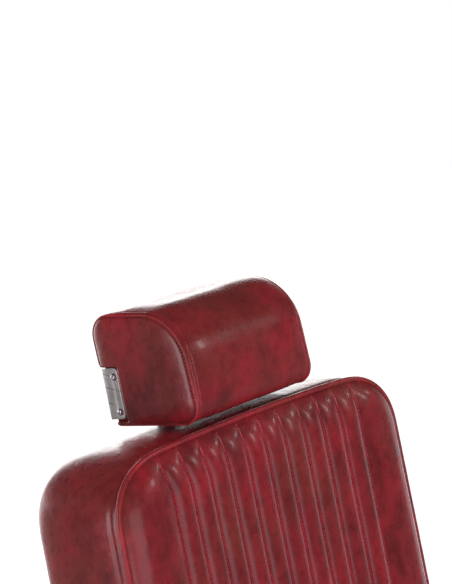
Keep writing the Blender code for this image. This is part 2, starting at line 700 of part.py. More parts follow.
def make_headrest(back, leather, chrome, steel, zinc):
    post = axis_empty("headrest_slide", (0, TILT_AXIS[0], 0), back)
    slot_near = BACK_FRONT + BACK_T + GAP + 0.0065
    near = slot_near + 0.0005 - TILT_AXIS[0]
    piece(
        "headrest_post",
        block((-POST_HALF_X, near, 0.440), (POST_HALF_X, near + POST_T, TILT_AXIS[1])),
        chrome,
        post,
        joins=[rod(0.0130, -POST_HALF_X, POST_HALF_X, "X", (0, TILT_AXIS[1]))],
        cuts=[rod(TILT_PIN_R + RUNNING, -0.05, 0.05, "X", (0, TILT_AXIS[1]))],
    )
    heads = [rod(0.0085, low, low + 0.004, "X", (0, TILT_AXIS[1])) for low in (-0.0268, 0.0228)]
    piece("tilt_pin", rod(TILT_PIN_R, -0.026, 0.026, "X", (0, TILT_AXIS[1])), zinc, post, joins=heads)

    axis = axis_empty("tilt_axis", (0, 0, TILT_AXIS[1]), post)
    half = HEADREST_W / 2
    rear = HEADREST_REAR - TILT_AXIS[0]
    low = HEADREST_LOW - TILT_AXIS[1]
    bracket_low, bracket_high = (z - TILT_AXIS[1] for z in BRACKET_Z)

    side = [(rear, low), (rear, low + 0.1425), (rear - 0.1454, low + 0.1336), (rear - 0.1525, low - 0.0045)]
    side.reverse()
    outline = fillet(side, [0.026, 0.066, 0.032, 0.006], 7)
    room = 0.0005
    notch_low = bracket_low - 0.004
    notch_high = bracket_high + 0.004
    behind = rear + 0.02
    recess = block((-half - 0.01, rear - BRACKET_T - room, notch_low), (half + 0.01, behind, notch_high))
    pockets = []
    for sign in (-1, 1):
        start, end = sorted((sign * (half - 0.004), sign * (half + 0.02)))
        pockets.append(block((start, rear - BRACKET_DEPTH - 0.001, notch_low), (end, behind, notch_high)))
    cushion = prism(outline, -half, half, "X")
    piece("headrest_cushion", cushion, leather, axis, cuts=[recess, *pockets])

    outer = half - 0.0005
    flange = [(rear - BRACKET_DEPTH, bracket_low), (rear, bracket_low), (rear, bracket_high)]
    flange += [(rear - BRACKET_DEPTH, bracket_high)]
    flange_outline = fillet(flange, [0.005, 0, 0, 0.005], 3)
    ear = fillet([(rear - 0.001, -0.013), (0.013, -0.013), (0.013, 0.013), (rear - 0.001, 0.013)], [0, 0.0125, 0.0125, 0])
    screw_y = rear - BRACKET_DEPTH + 0.007
    screw_heights = (bracket_low + 0.009, bracket_high - 0.0114)
    holes = [rod(0.0026, -0.2, 0.2, "X", (screw_y, z), 12) for z in screw_heights]
    piece(
        "headrest_bracket",
        block((-outer, rear - BRACKET_T, bracket_low), (outer, rear, bracket_high)),
        steel,
        axis,
        joins=[
            prism(flange_outline, -outer, -outer + BRACKET_T, "X"),
            prism(flange_outline, outer - BRACKET_T, outer, "X"),
            prism(ear, -0.0225, -0.0165, "X"),
            prism(ear, 0.0165, 0.0225, "X"),
        ],
        cuts=[*holes, rod(TILT_PIN_R + RUNNING, -0.05, 0.05, "X")],
    )
    head = [(0, 0), (0.0046, 0), (0.0042, 0.0016), (0.0026, 0.0028), (0, 0.0032)]
    for side_name, sign in (("left", -1), ("right", 1)):
        for number, z in enumerate(screw_heights, 1):
            dome = turned([(r, sign * h) for r, h in head], 14, "Z")
            dome.transform(Matrix.Translation((sign * (outer + GAP), screw_y, z)) @ Matrix.Rotation(math.pi / 2, 4, "Y"))
            start, end = sorted((sign * (outer - BRACKET_T + 0.0002), sign * (outer + 0.001)))
            shank = rod(0.0022, start, end, "X", (screw_y, z), 12)
            piece(f"bracket_screw_{side_name}_{number}", dome, zinc, axis, joins=[shank])


# ---------------------------------------------------------------- the chair


def main():
    clear_scene()
    steel = material("satin_steel", (0.46, 0.46, 0.46), 0.38, 1.0)
    chrome = material("chrome", (0.80, 0.80, 0.80), 0.08, 1.0)
    zinc = material("bright_fasteners", (0.70, 0.70, 0.70), 0.22, 1.0)
    leather = material("oxblood_leather", (0.22, 0.022, 0.030), 0.36)
    rubber = material("black_rubber", (0.025, 0.025, 0.025), 0.75)
    plastic = material("black_plastic", (0.030, 0.030, 0.030), 0.40)
    wood = material("plywood", (0.52, 0.36, 0.20), 0.60)

    make_base(steel, chrome, rubber, zinc)
    make_pedal(chrome, rubber)
    lift = make_lift(steel, chrome, zinc)
    seat = make_seat(lift, steel, chrome, wood, leather, zinc)
    make_strut_rod(seat, chrome)
    make_recline_lever(seat, steel, plastic)
    make_legrest(seat, steel, chrome, wood, leather, rubber, zinc)
    back = make_backrest(seat, steel, wood, leather, chrome, zinc)
    make_knob(back, plastic)
    make_headrest(back, leather, chrome, steel, zinc)


main()
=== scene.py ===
"""The looks of the hydraulic barber chair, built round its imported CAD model, in metres, +Z up, front towards -Y.

The upholstery is modelled in three flat frames: the reclined back, the seat and the calf pad. In each of them U
runs across, V along the pad and W out of its face towards the sitter.
"""

import json
from math import atan2, copysign, cos, pi, radians, sin, tan

import bmesh
import bpy
import numpy as np
from mathutils import Matrix, Vector, noise
from mathutils.kdtree import KDTree

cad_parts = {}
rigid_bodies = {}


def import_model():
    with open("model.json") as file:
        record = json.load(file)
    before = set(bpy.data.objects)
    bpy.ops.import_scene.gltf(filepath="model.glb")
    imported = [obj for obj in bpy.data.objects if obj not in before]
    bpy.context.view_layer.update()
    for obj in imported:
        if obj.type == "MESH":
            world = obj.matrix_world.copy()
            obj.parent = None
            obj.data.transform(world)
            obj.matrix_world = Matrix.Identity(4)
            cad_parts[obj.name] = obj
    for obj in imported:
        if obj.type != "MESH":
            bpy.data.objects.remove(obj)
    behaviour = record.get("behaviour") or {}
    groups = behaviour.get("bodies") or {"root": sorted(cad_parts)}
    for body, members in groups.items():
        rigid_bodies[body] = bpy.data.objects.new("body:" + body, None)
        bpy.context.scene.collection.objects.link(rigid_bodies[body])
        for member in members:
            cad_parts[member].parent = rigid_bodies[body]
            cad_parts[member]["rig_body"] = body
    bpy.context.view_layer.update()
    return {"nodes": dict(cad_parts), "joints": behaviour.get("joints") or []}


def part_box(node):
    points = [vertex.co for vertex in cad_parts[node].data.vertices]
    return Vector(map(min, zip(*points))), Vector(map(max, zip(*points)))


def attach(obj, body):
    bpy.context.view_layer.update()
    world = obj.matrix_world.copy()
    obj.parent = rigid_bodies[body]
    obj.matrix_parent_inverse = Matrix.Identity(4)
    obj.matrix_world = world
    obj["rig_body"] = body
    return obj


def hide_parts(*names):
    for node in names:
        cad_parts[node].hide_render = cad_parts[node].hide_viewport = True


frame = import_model()
joints = {joint["name"]: joint for joint in frame["joints"]}

# ---- the camera
CAMERA_TARGET = (0.0108, 0.3872, 1.2229)
CAMERA_AZIMUTH = radians(-50.009)  # 0 looks along +Y
CAMERA_DOWN = radians(16.073)
CAMERA_DISTANCE = 3.517
CAMERA_LENS_MM = 172.83
SENSOR_MM = 36

SIDES = (("left", -1), ("right", 1))
FIRM, SOFTER = 0.85, 0.8  # how full the padded pieces are

# ---- the back, in the reclined frame
WELT_R = 0.0036
WELT_W = 0.04  # the plane of the front welt
BACK_REAR_W = -0.098
BACK_LOW = 0.09
BACK_HIGH = 0.69
BACK_HALF = 0.27
BACK_TAPER = 0.06  # how much wider it grows per metre, down to where the taper ends
BACK_TAPER_DROP = 0.3
BACK_CORNER = (0.0957, 0.0774)
BACK_CORNER_POWER = 2.44  # 2 is an ellipse, more is squarer
BACK_ARCH = 0.0078  # of its high edge, which is lower at the corners
BACK_LOW_CORNER = 0.06
CHANNELS = 10
CHANNEL_PITCH = 0.0379
CHANNEL_DRIFT = 0.009  # the sewn lines crowd a little towards the back's left side
VALLEY_RISE = 0.0118  # of the sewn lines over the welt's plane
CHANNEL_RELIEF = 0.0058
SIDE_REACH = 0.034  # how far beside the outer lines the side panels still rise
FACE_EDGE = 0.005  # how far behind the welt's plane the face and the band meet
EDGE_ROLL = 0.062  # how far in from the welt the face still rises, along the top and the bottom
SIDE_ROLL = 0.042  # and along the sides
BAND_BULGE = 0.0062
BAND_REAR_OUT = 0.0014  # how much wider the band is at the rear
REAR_ROLL = 0.003


# ---- mesh tools


def linked(name, data):
    """An object that holds the data, in the scene."""
    obj = bpy.data.objects.new(name, data)
    bpy.context.scene.collection.objects.link(obj)
    return obj


def mesh_object(name, points, faces, merge=1e-5):
    """A smooth-shaded mesh object, its doubled points merged and its faces turned outwards."""
    mesh = bpy.data.meshes.new(name)
    mesh.from_pydata([tuple(p) for p in points], [], [tuple(f) for f in faces])
    bm = bmesh.new()
    bm.from_mesh(mesh)
    if merge:
        bmesh.ops.remove_doubles(bm, verts=bm.verts, dist=merge)
        bmesh.ops.dissolve_degenerate(bm, edges=bm.edges, dist=merge)
        bmesh.ops.recalc_face_normals(bm, faces=bm.faces)
    bm.to_mesh(mesh)
    bm.free()
    mesh.shade_smooth()
    return linked(name, mesh)


def grid_faces(columns, rows, wrap_columns=False, wrap_rows=False):
    """The quads of a grid of points stored column by column."""
    faces = []
    for c in range(columns if wrap_columns else columns - 1):
        for r in range(rows if wrap_rows else rows - 1):
            a = c * rows + r
            b = ((c + 1) % columns) * rows + r
            step = 1 - rows if r == rows - 1 else 1
            faces.append((a, b, b + step, a + step))
    return faces


def capped(points, faces, sides):
    """(points, faces) with flat faces over the first and the last ring of points."""
    return points, [*faces, tuple(range(sides))[::-1], tuple(range(len(points) - sides, len(points)))]


def joined(parts):
    """Several (points, faces) as one."""
    points, faces, start = [], [], 0
    for part_points, part_faces in parts:
        points.append(np.asarray(part_points, float))
        faces += [tuple(i + start for i in face) for face in part_faces]
        start += len(part_points)
    return np.concatenate(points), faces


def raised(uv, w):
    """(u, v) points brought to w."""
    return np.column_stack([uv, np.broadcast_to(w, len(uv))])


def circle(count):
    """Evenly spaced angles round a circle."""
    return np.linspace(0, 2 * pi, count, endpoint=False)


def reaches(path):
    """How far along a polyline each of its points lies."""
    return np.concatenate([[0], np.cumsum(np.linalg.norm(np.diff(path, axis=0), axis=1))])


def at_reach(path, reach, spots):
    """A polyline's values at some distances along it."""
    return np.stack([np.interp(spots, reach, column) for column in path.T], axis=-1)


def resampled(points, count, closed=False):
    """Evenly spaced points along a polyline."""
    points = np.asarray(points, float)
    if closed:
        points = np.vstack([points, points[:1]])
    reach = reaches(points)
    return at_reach(points, reach, np.linspace(0, reach[-1], count, endpoint=not closed))


def tangents(path, closed):
    """Unit directions of a path at its points."""
    if closed:
        step = np.roll(path, -1, axis=0) - np.roll(path, 1, axis=0)
    else:
        step = np.gradient(path, axis=0)
    return step / np.linalg.norm(step, axis=1, keepdims=True)


def tube(path, radius, sides=12, closed=False):
    """(points, faces) of a round bar along a path, without twist, with flat ends where it is open."""
    path = np.asarray(path, float)
    along = tangents(path, closed)
    across = np.cross(along[0], (0.31, 0.17, 0.93))  # any direction that no path starts along
    frames = []
    for direction in along:
        across = across - direction * (across @ direction)
        across /= np.linalg.norm(across)
        frames.append((across, np.cross(direction, across)))
    if closed:
        start, end = frames[0], frames[-1]
        missed = atan2(end[0] @ start[1], end[0] @ start[0])
        twist = np.linspace(0, -missed, len(path), endpoint=False)
        frames = [(a * cos(t) + b * sin(t), b * cos(t) - a * sin(t)) for (a, b), t in zip(frames, twist)]
    turns = circle(sides)
    rings = [
        p + r * (np.outer(np.cos(turns), a) + np.outer(np.sin(turns), b))
        for p, r, (a, b) in zip(path, np.broadcast_to(radius, len(path)), frames)
    ]
    shape = np.concatenate(rings), grid_faces(len(path), sides, closed, wrap_rows=True)
    return shape if closed else capped(*shape, sides)


def turned(profile, steps=96, axis="Z", centre=(0, 0, 0), closed=False, ripple=None):
    """(points, faces) of (radius, height) pairs spun about an axis.

    ripple = (waves, depth, smallest radius) scallops everything outside that radius."""
    profile = np.asarray(profile, float)
    turns = circle(steps)[:, None]
    radius = np.tile(profile[:, 0], (steps, 1))
    if ripple:
        waves, depth, inner = ripple
        radius += np.where(radius > inner, depth * np.cos(waves * turns), 0)
    x, y, z = radius * np.cos(turns), radius * np.sin(turns), np.tile(profile[:, 1], (steps, 1))
    points = np.stack({"X": (z, x, y), "Y": (y, z, x), "Z": (x, y, z)}[axis], axis=-1).reshape(-1, 3) + centre
    return points, grid_faces(steps, len(profile), wrap_columns=True, wrap_rows=closed)


def filleted(profile, radius=0.0008, steps=3, closed=False):
    """A profile with its corners eased to a small radius, as far as its shorter sides allow."""
    points = [Vector(p) for p in profile]
    radii = []
    for before, corner, after in zip(points[-1:] + points, points, points[1:] + points[:1]):
        back, ahead = before - corner, after - corner
        half = back.angle(ahead) / 2
        shorter = min(back.length, ahead.length)
        radii.append(0 if half > 1.5 else min(radius, 0.45 * shorter * tan(half)))
    return rounded(points, radii, steps, closed)


def stacked(outline, rows):
    """(points, faces) of a closed outline in XY lofted through (inset, z) rows, with a flat face at both ends."""
    out = outward(outline)
    points = np.concatenate([raised(outline - out * inset, z) for inset, z in rows])
    return capped(points, grid_faces(len(rows), len(outline), wrap_rows=True), len(outline))


def rounded(corners, radii, steps=8, closed=True):
    """A polyline with each corner rounded to an arc of its radius."""
    corners = [Vector(c) for c in corners]
    radii = np.broadcast_to(radii, len(corners)).copy()
    if not closed:
        radii[[0, -1]] = 0
    out = []
    for before, corner, after, radius in zip(corners[-1:] + corners, corners, corners[1:] + corners[:1], radii):
        if radius == 0:
            out.append(corner)
            continue
        back, ahead = (before - corner).normalized(), (after - corner).normalized()
        half = back.angle(ahead) / 2
        centre = corner + (back + ahead).normalized() * (radius / sin(half))
        start, end = (corner + way * (radius / tan(half)) - centre for way in (back, ahead))
        sweep = start.angle(end)
        for t in np.linspace(0, 1, steps + 1):
            out.append(centre + (start * sin((1 - t) * sweep) + end * sin(t * sweep)) / sin(sweep))
    return np.array([tuple(p) for p in out])


def ramped(count, crowding):
    """0 to 1, with the steps crowded towards both ends."""
    t = np.linspace(0, 1, count)
    return t - crowding * np.sin(2 * pi * t) / (2 * pi)


def placed(matrix, uvw):
    """Points of a flat frame, in world space."""
    return np.asarray(uvw, float) @ np.array(matrix.to_3x3()).T + np.array(matrix.translation)


def frame_at(origin, *axes):
    """The matrix of a frame with that origin and those three axes."""
    matrix = Matrix.Identity(4)
    for k, axis in enumerate(axes):
        matrix.col[k][:3] = axis
    matrix.translation = origin
    return matrix


def finish_piece(obj, body, look, *nodes):
    """Paints a piece, lets it ride on its body and hides the CAD nodes it stands for."""
    material, slot = PAINT[look]
    obj.data.materials.append(material)
    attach(obj, body)
    if nodes:
        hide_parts(*nodes)
    return obj


def piece(name, shape, body, look, *nodes, crease=None):
    """A finished piece from its (points, faces), with edges over the crease angle kept sharp."""
    obj = mesh_object(name, *shape)
    if crease:
        obj.data.set_sharp_from_angle(angle=crease)
    return finish_piece(obj, body, look, *nodes)


# ---- materials


def add(tree, kind, inputs=None, **settings):
    """A shader node with its sockets set: a socket given as an input is linked, a value is stored."""
    made = tree.nodes.new(kind)
    for key, value in settings.items():
        setattr(made, key, value)
    for key, value in (inputs or {}).items():
        if isinstance(value, bpy.types.NodeSocket):
            tree.links.new(value, made.inputs[key])
        else:
            made.inputs[key].default_value = value
    return made


def new_material(name, **values):
    """A material with a Principled shader, its sockets set by name with _ for a space."""
    material = bpy.data.materials.new(name)
    material.use_nodes = True
    shader = material.node_tree.nodes["Principled BSDF"]
    for key, value in values.items():
        shader.inputs[key.replace("_", " ")].default_value = value
    return material, material.node_tree, shader


def rgba(colour):
    """A colour as a socket takes it, from three numbers or one grey. A linked socket stays as it is."""
    if isinstance(colour, bpy.types.NodeSocket):
        return colour
    return (*colour, 1) if hasattr(colour, "__len__") else (colour, colour, colour, 1)


def ramp(tree, value, *stops):
    """A colour ramp on a 0 to 1 value, from (place, colour) stops."""
    made = add(tree, "ShaderNodeValToRGB", {"Fac": value})
    elements = made.color_ramp.elements
    while len(elements) < len(stops):
        elements.new(0.5)
    for element, (place, colour) in zip(elements, stops):
        element.position = place
        element.color = rgba(colour)
    return made.outputs["Color"]


def mix(tree, factor, first, second, mode="MIX"):
    """The second colour over the first one."""
    inputs = {0: factor, 6: rgba(first), 7: rgba(second)}
    return add(tree, "ShaderNodeMix", inputs, data_type="RGBA", blend_type=mode).outputs[2]


def noise_value(tree, scale, detail=3.0, roughness=0.5, distortion=0.0, stretch=None, turn=(0, 0, 0)):
    """Noise through the object's own coordinates, in metres: scale is in features per metre."""
    coords = tree.nodes.new("ShaderNodeTexCoord").outputs["Object"]
    if stretch:
        mapping = {"Vector": coords, "Scale": stretch, "Rotation": turn}
        coords = add(tree, "ShaderNodeMapping", mapping).outputs["Vector"]
    inputs = {"Vector": coords, "Scale": scale, "Detail": detail, "Roughness": roughness, "Distortion": distortion}
    return add(tree, "ShaderNodeTexNoise", inputs).outputs["Fac"]


def surfaced(made, tone, gloss, *layers):
    """Links a material's colour and roughness, and stacks its (height socket, metres) layers of bump."""
    material, tree, shader = made
    tree.links.new(tone, shader.inputs["Base Color"])
    if gloss:
        tree.links.new(gloss, shader.inputs["Roughness"])
    below = {}
    for height, distance in layers:
        bump = add(tree, "ShaderNodeBump", {"Height": height, "Distance": distance, "Strength": 1.0, **below})
        below = {"Normal": bump.outputs["Normal"]}
    tree.links.new(below["Normal"], shader.inputs["Normal"])
    return material


OXBLOOD = (0.212, 0.0102, 0.0158)
OXBLOOD_DARK = (0.12, 0.007, 0.0098)
CRIMSON = (0.298, 0.0088, 0.0172)
CHESTNUT = (0.176, 0.024, 0.0165)
GLOSSY, DULL = 0.25, 0.36  # the roughness it varies between
GRAIN_DEPTHS = (0.0008, 0.00014, 0.00006)  # of its soft hollows, its waves and its pores


def leatherette(name, lift=1.0, grain=1.0):
    """Rubbed oxblood leatherette: marbled in four tones, finely grained, under a glossy top coat."""
    made = new_material(
        name, Specular_IOR_Level=0.5, Coat_Weight=0.3, Coat_Roughness=0.13, Sheen_Weight=0.07, Sheen_Roughness=0.3,
        Sheen_Tint=(1.0, 0.1, 0.16, 1.0),
    )
    tree = made[1]
    clouds = noise_value(tree, 22, 4, 0.55, 0.4, (1, 1, 0.7))
    patches = noise_value(tree, 80, 5, 0.62, 0.2, (1, 1, 0.8))
    flecks = noise_value(tree, 150, 4, 0.6, 0.0, (1, 1, 0.8))
    warm = noise_value(tree, 9, 3, 0.5, 0.4)
    tone = ramp(tree, clouds, (0.34, OXBLOOD_DARK), (0.5, OXBLOOD), (0.68, CRIMSON))
    tone = mix(tree, ramp(tree, warm, (0.46, 0.0), (0.7, 0.85)), tone, CHESTNUT)
    tone = mix(tree, ramp(tree, patches, (0.3, 0.42), (0.56, 0.0)), tone, OXBLOOD_DARK)
    tone = mix(tree, ramp(tree, patches, (0.5, 0.0), (0.75, 0.45)), tone, CRIMSON)
    tone = mix(tree, ramp(tree, flecks, (0.42, 0.0), (0.78, 0.34)), tone, OXBLOOD_DARK)
    # lift brightens the whole tone and makes a lit copy of the leatherette: painted highlight
    if lift != 1.0:
        tone = mix(tree, 1.0, tone, lift, "MULTIPLY")
    gloss = mix(tree, ramp(tree, patches, (0.35, 0.0), (0.7, 1.0)), GLOSSY, DULL)
    coords = tree.nodes.new("ShaderNodeTexCoord").outputs["Object"]
    cells = add(tree, "ShaderNodeTexVoronoi", {"Vector": coords, "Scale": 850.0, "Randomness": 1.0})
    waves = noise_value(tree, 330, 4, 0.6, 0.5)
    soft = noise_value(tree, 42, 3, 0.55)
    pores = ramp(tree, cells.outputs["Distance"], (0.0, 1.0), (0.8, 0.0))
    depths = (d * grain for d in GRAIN_DEPTHS)
    return surfaced(made, tone, gloss, *zip((soft, waves, pores), depths))


def thread_material(name, dull, bright):
    """Waxed thread, with the twist of its plies."""
    made = new_material(name, Roughness=0.45, Specular_IOR_Level=0.4)
    tree = made[1]
    tone = ramp(tree, noise_value(tree, 180, 2, 0.5), (0.35, dull), (0.65, bright))
    return surfaced(made, tone, None, (noise_value(tree, 2600, 1, 0.5), 0.0001))


def metal(name, colour, roughness, marks, brushed=(1, 1, 1)):
    """A metal whose gloss varies with fine marks, drawn out along a brushing direction."""
    made = new_material(name, Metallic=1.0)
    tree = made[1]
    lines = noise_value(tree, 420, 3, 0.65, 0.0, brushed)
    smears = noise_value(tree, 14, 4, 0.6, 0.3)
    tone = ramp(tree, lines, (0.3, tuple(c * (1 - 0.35 * marks) for c in colour)), (0.7, colour))
    gloss = ramp(tree, smears, (0.3, roughness * (1 - marks)), (0.7, roughness * (1 + marks)))
    return surfaced(made, tone, gloss, (lines, 0.00002 * marks))


def bracket_material():
    """Bare satin steel with the long slanting scratches of handling."""
    made = new_material("scratched_steel", Metallic=0.85, Specular_IOR_Level=0.6)
    tree = made[1]
    scuffs = noise_value(tree, 30, 4, 0.6, 0.5)
    lines = noise_value(tree, 1.0, 2.0, stretch=(30, 14, 300), turn=(-0.6, 0, 0))
    marks = ramp(tree, lines, (0.615, 0.0), (0.675, 1.0))
    tone = ramp(tree, scuffs, (0.35, (0.62, 0.6, 0.58)), (0.65, (0.76, 0.74, 0.72)))
    gloss = ramp(tree, scuffs, (0.3, 0.3), (0.7, 0.42))
    return surfaced(made, mix(tree, marks, tone, (0.34, 0.33, 0.32)), gloss, (marks, 0.00003))


def plastic(name, colour, roughness, grain):
    """Moulded black rubber or plastic, finely grained and a little dusty."""
    made = new_material(name, Specular_IOR_Level=0.5)
    tree = made[1]
    dust = noise_value(tree, 25, 4, 0.6)
    tone = ramp(tree, dust, (0.35, colour), (0.7, tuple(c * 1.35 + 0.004 for c in colour)))
    gloss = ramp(tree, dust, (0.3, roughness * 0.85), (0.7, roughness * 1.15))
    return surfaced(made, tone, gloss, (noise_value(tree, 700, 3, 0.6), grain))


def plywood_material():
    """Birch plywood: long grain on the faces, with the ply lines across its edges."""
    made = new_material("birch_plywood", Roughness=0.55)
    tree = made[1]
    rings = noise_value(tree, 3.0, 6.0, distortion=1.5, stretch=(30, 2.5, 30))
    tone = ramp(tree, rings, (0.3, (0.42, 0.27, 0.14)), (0.7, (0.62, 0.45, 0.27)))
    return surfaced(made, tone, None, (rings, 0.0002))


def paint():
    """Each look by name: its material, and the record's slot that it belongs to."""
    leather = leatherette("oxblood_leatherette")
    chrome = metal("chrome_plate", (0.83, 0.83, 0.84), 0.07, 0.3)
    plain = {
        "leatherette": leather,
        "chrome": chrome,
        "polished_aluminium": metal("polished_aluminium", (0.78, 0.78, 0.79), 0.15, 0.5),
        "satin_steel": metal("satin_steel", (0.58, 0.58, 0.57), 0.32, 0.5, (1, 9, 3)),
        "bright_fasteners": metal("zinc_plate", (0.7, 0.7, 0.71), 0.2, 0.5),
        "black_rubber": plastic("black_rubber", (0.018, 0.018, 0.018), 0.62, 0.00008),
        "black_plastic": plastic("black_plastic", (0.016, 0.016, 0.017), 0.34, 0.00004),
        "plywood": plywood_material(),
    }
    return {slot: (material, slot) for slot, material in plain.items()} | {
        "padded": (leather, "padded_leatherette"),
        # the piping and the headrest's seam bead are lighter copies of the leatherette: a painted highlight for the
        # light they catch
        "welt": (leatherette("welt_leatherette_painted_lit", lift=1.3, grain=0.5), "leatherette"),
        "bead": (leatherette("bead_leatherette_painted_lit", lift=1.75, grain=0.5), "leatherette"),
        "thread": (thread_material("crimson_thread", (0.52, 0.014, 0.042), (0.8, 0.034, 0.085)), "leatherette"),
        # near-black thread for the row inside the headrest's end seams: real stitches, coloured as painted shade of
        # their needle holes
        "painted_shade_thread": (thread_material("painted_shade_thread", (0.02, 0.004, 0.005), (0.045, 0.008, 0.01)), "leatherette"),
        "base": (chrome, "polished_aluminium"),
        "bracket": (bracket_material(), "satin_steel"),
    }


PAINT = paint()


# ---- padded slabs


def back_outline():
    """The right half of the back's outline, from the middle of its low edge round to the middle of its high edge."""
    shoulder = BACK_HIGH - BACK_TAPER_DROP
    wide = back_half_width(BACK_LOW)
    low = [(0, BACK_LOW), (wide, BACK_LOW), (wide, shoulder)]
    corner = rounded(low, [0, BACK_LOW_CORNER, 0], 24, closed=False)
    straight = [(wide, z) for z in np.linspace(corner[-2][1], shoulder, 30)[1:]]
    reach_u, reach_v = BACK_CORNER
    start = BACK_HIGH - reach_v
    rise = [(BACK_HALF, z) for z in np.linspace(shoulder, start, 40)[1:-1]]
    turn = np.linspace(0, pi / 2, 60)
    power = 2 / BACK_CORNER_POWER
    u = BACK_HALF - reach_u + reach_u * np.cos(turn).clip(0) ** power
    v = start + reach_v * np.sin(turn).clip(0) ** power
    upper = []
    for x, z in [*rise, *zip(u, v), *((x, BACK_HIGH) for x in np.linspace(u[-1], 0, 40)[1:])]:
        upper.append((x * back_half_width(z) / BACK_HALF, z - BACK_ARCH * (x / BACK_HALF) ** 2))
    return np.array([*map(tuple, corner[:-1]), *straight, *upper])


def back_half_width(height):
    """The back grows a little wider downwards, to 0.30 m under its top."""
    return BACK_HALF * (1 + BACK_TAPER * min(BACK_HIGH - height, BACK_TAPER_DROP))


def box_outline(low, high, low_corner, high_corner):
    """The right half of a rounded rectangle that is symmetric in U."""
    wide = high[0]
    corners = [(0, low[1]), (wide, low[1]), (wide, high[1]), (0, high[1])]
    return rounded(corners, [0, low_corner, high_corner, 0], 24, closed=False)


class Slab:
    """A padded slab over half an outline and its mirror image, sewn down along straight lines of constant U.

    It keeps a grid of (u, v) points whose columns follow the sewn lines and fan out to the outline beside them."""

    def __init__(self, right, lines, per_channel=14, side_columns=26, rows=190, crowding=0.78):
        right = resampled(right, 900)
        self.lines, self.per_channel, self.side_columns = lines, per_channel, side_columns
        self.loop = resampled(np.vstack([right, right[::-1][1:-1] * (-1, 1)]), 1600, closed=True)
        wide = right[:, 0] > 0.97 * right[:, 0].max()
        low_side, high_side = right[: wide.argmax() + 1], right[::-1][: wide[::-1].argmax() + 1]
        t = ramped(rows, crowding)

        def ends(u):
            return (np.interp(abs(u), *part.T) for part in (low_side, high_side))

        def straight(u):
            low, high = ends(u)
            return np.column_stack([np.full(rows, u), low + (high - low) * t])

        def side(line, sign):
            low, high = ends(line)
            inner = straight(line)
            arc = np.vstack([[(abs(line), low)], right[right[:, 0] > abs(line)], [(abs(line), high)]])
            reach = reaches(arc)
            outer = at_reach(arc, reach, t * reach[-1]) * (sign, 1)
            return [inner * (1 - s) + outer * s for s in np.sin(np.linspace(0, pi / 2, side_columns + 1))[1:]]

        columns = side(lines[0], -1)[::-1]
        for a, b in zip(lines[:-1], lines[1:]):
            columns += [straight(a + (b - a) * k / per_channel) for k in range(per_channel)]
        self.grid = np.array([*columns, straight(lines[-1]), *side(lines[-1], 1)])
        self.inset = depths_inside(self.loop, self.grid)
        last, top = len(self.grid) - 1, rows - 1
        edges = [(0, r) for r in range(top)] + [(c, top) for c in range(last)]
        edges += [(last, r) for r in range(top, 0, -1)] + [(c, 0) for c in range(last, 0, -1)]
        spots = np.array([self.grid[edge] for edge in edges])
        apart = np.linalg.norm(spots - np.roll(spots, 1, axis=0), axis=1) > 1e-6
        self.rim = [c * rows + r for (c, r), new in zip(edges, apart) if new]
        self.rim_loop = spots[apart]
        self.out = outward(self.rim_loop)


def depths_inside(loop, points):
    """How far each of an array of (u, v) points is from a loop."""
    tree = KDTree(len(loop))
    for k, (u, v) in enumerate(loop):
        tree.insert((u, v, 0), k)
    tree.balance()
    return np.array([tree.find((u, v, 0))[2] for u, v in points.reshape(-1, 2)]).reshape(points.shape[:-1])


def outward(loop):
    """Unit normals of a closed (u, v) loop, pointing out of it."""
    step = tangents(loop, closed=True)
    normal = np.stack([step[:, 1], -step[:, 0]], axis=1)
    area = np.sum(loop[:, 0] * np.roll(loop[:, 1], -1) - np.roll(loop[:, 0], -1) * loop[:, 1])
    return normal if area > 0 else -normal


def rolled(inset, depth, power=2.3, root=2.0):
    """0 at the welt, rising steeply to 1 at a depth inside it, like the edge of a stuffed cushion."""
    t = np.clip(inset / depth, 0, 1)
    return (1 - (1 - t) ** power) ** (1 / root)


def wobble(points, scale, seed=0.0):
    """Smooth noise between about -1 and 1 at each point."""
    shift = Vector((seed, seed * 1.7, -seed))
    return np.array([noise.noise(Vector(p) * scale + shift) for p in points])


def slab_body(slab, heights, band, matrix):
    """(points, faces) of a closed slab: its face, a band round it through (outset, w) rows, and a flat rear."""
    points = [raised(slab.grid.reshape(-1, 2), heights.ravel())]
    faces = grid_faces(*heights.shape)
    ring, start, count = slab.rim, heights.size, len(slab.rim)
    for outset, w in band:
        points.append(raised(slab.rim_loop + slab.out * outset, w))
        new = list(range(start, start + count))
        faces += [(ring[k], ring[(k + 1) % count], new[(k + 1) % count], new[k]) for k in range(count)]
        ring, start = new, start + count
    return placed(matrix, np.concatenate(points)), [*faces, tuple(ring)]


STITCH = (  # its rings: place along it, rise over its surface and size, the last two in radii of the thread
    (-0.5, -1.2, 0.45), (-0.4, -0.35, 0.9), (-0.15, 0.25, 1.00),
    (0.15, 0.25, 1.00), (0.4, -0.35, 0.9), (0.5, -1.2, 0.45),
)
STITCH_SIDES = 6
STITCH_PITCH = 0.005


def stitches(paths, normals, pitch, length, radius, sink=0.35):
    """(points, faces) of short arched stitches of thread along world-space paths, each lying on its surface."""
    parts = []
    turns = circle(STITCH_SIDES)
    faces = grid_faces(len(STITCH), STITCH_SIDES, wrap_rows=True)
    for path, normal in zip(paths, normals):
        reach = reaches(path)
        for spot in np.arange(pitch * 0.5, reach[-1] - pitch * 0.4, pitch):
            centre, up = (at_reach(line, reach, spot) for line in (path, normal))
            ahead = at_reach(path, reach, spot + pitch * 0.3) - centre
            ahead /= np.linalg.norm(ahead)
            up = up - ahead * (up @ ahead)
            up /= np.linalg.norm(up)
            section = radius * (np.outer(np.cos(turns), up) + np.outer(np.sin(turns), np.cross(ahead, up)))
            rings = [
                centre + ahead * (along * length) + up * (radius * (rise + sink)) + size * section
                for along, rise, size in STITCH
            ]
            parts.append(capped(np.concatenate(rings), faces, STITCH_SIDES))
    return joined(parts)


# ---- the back


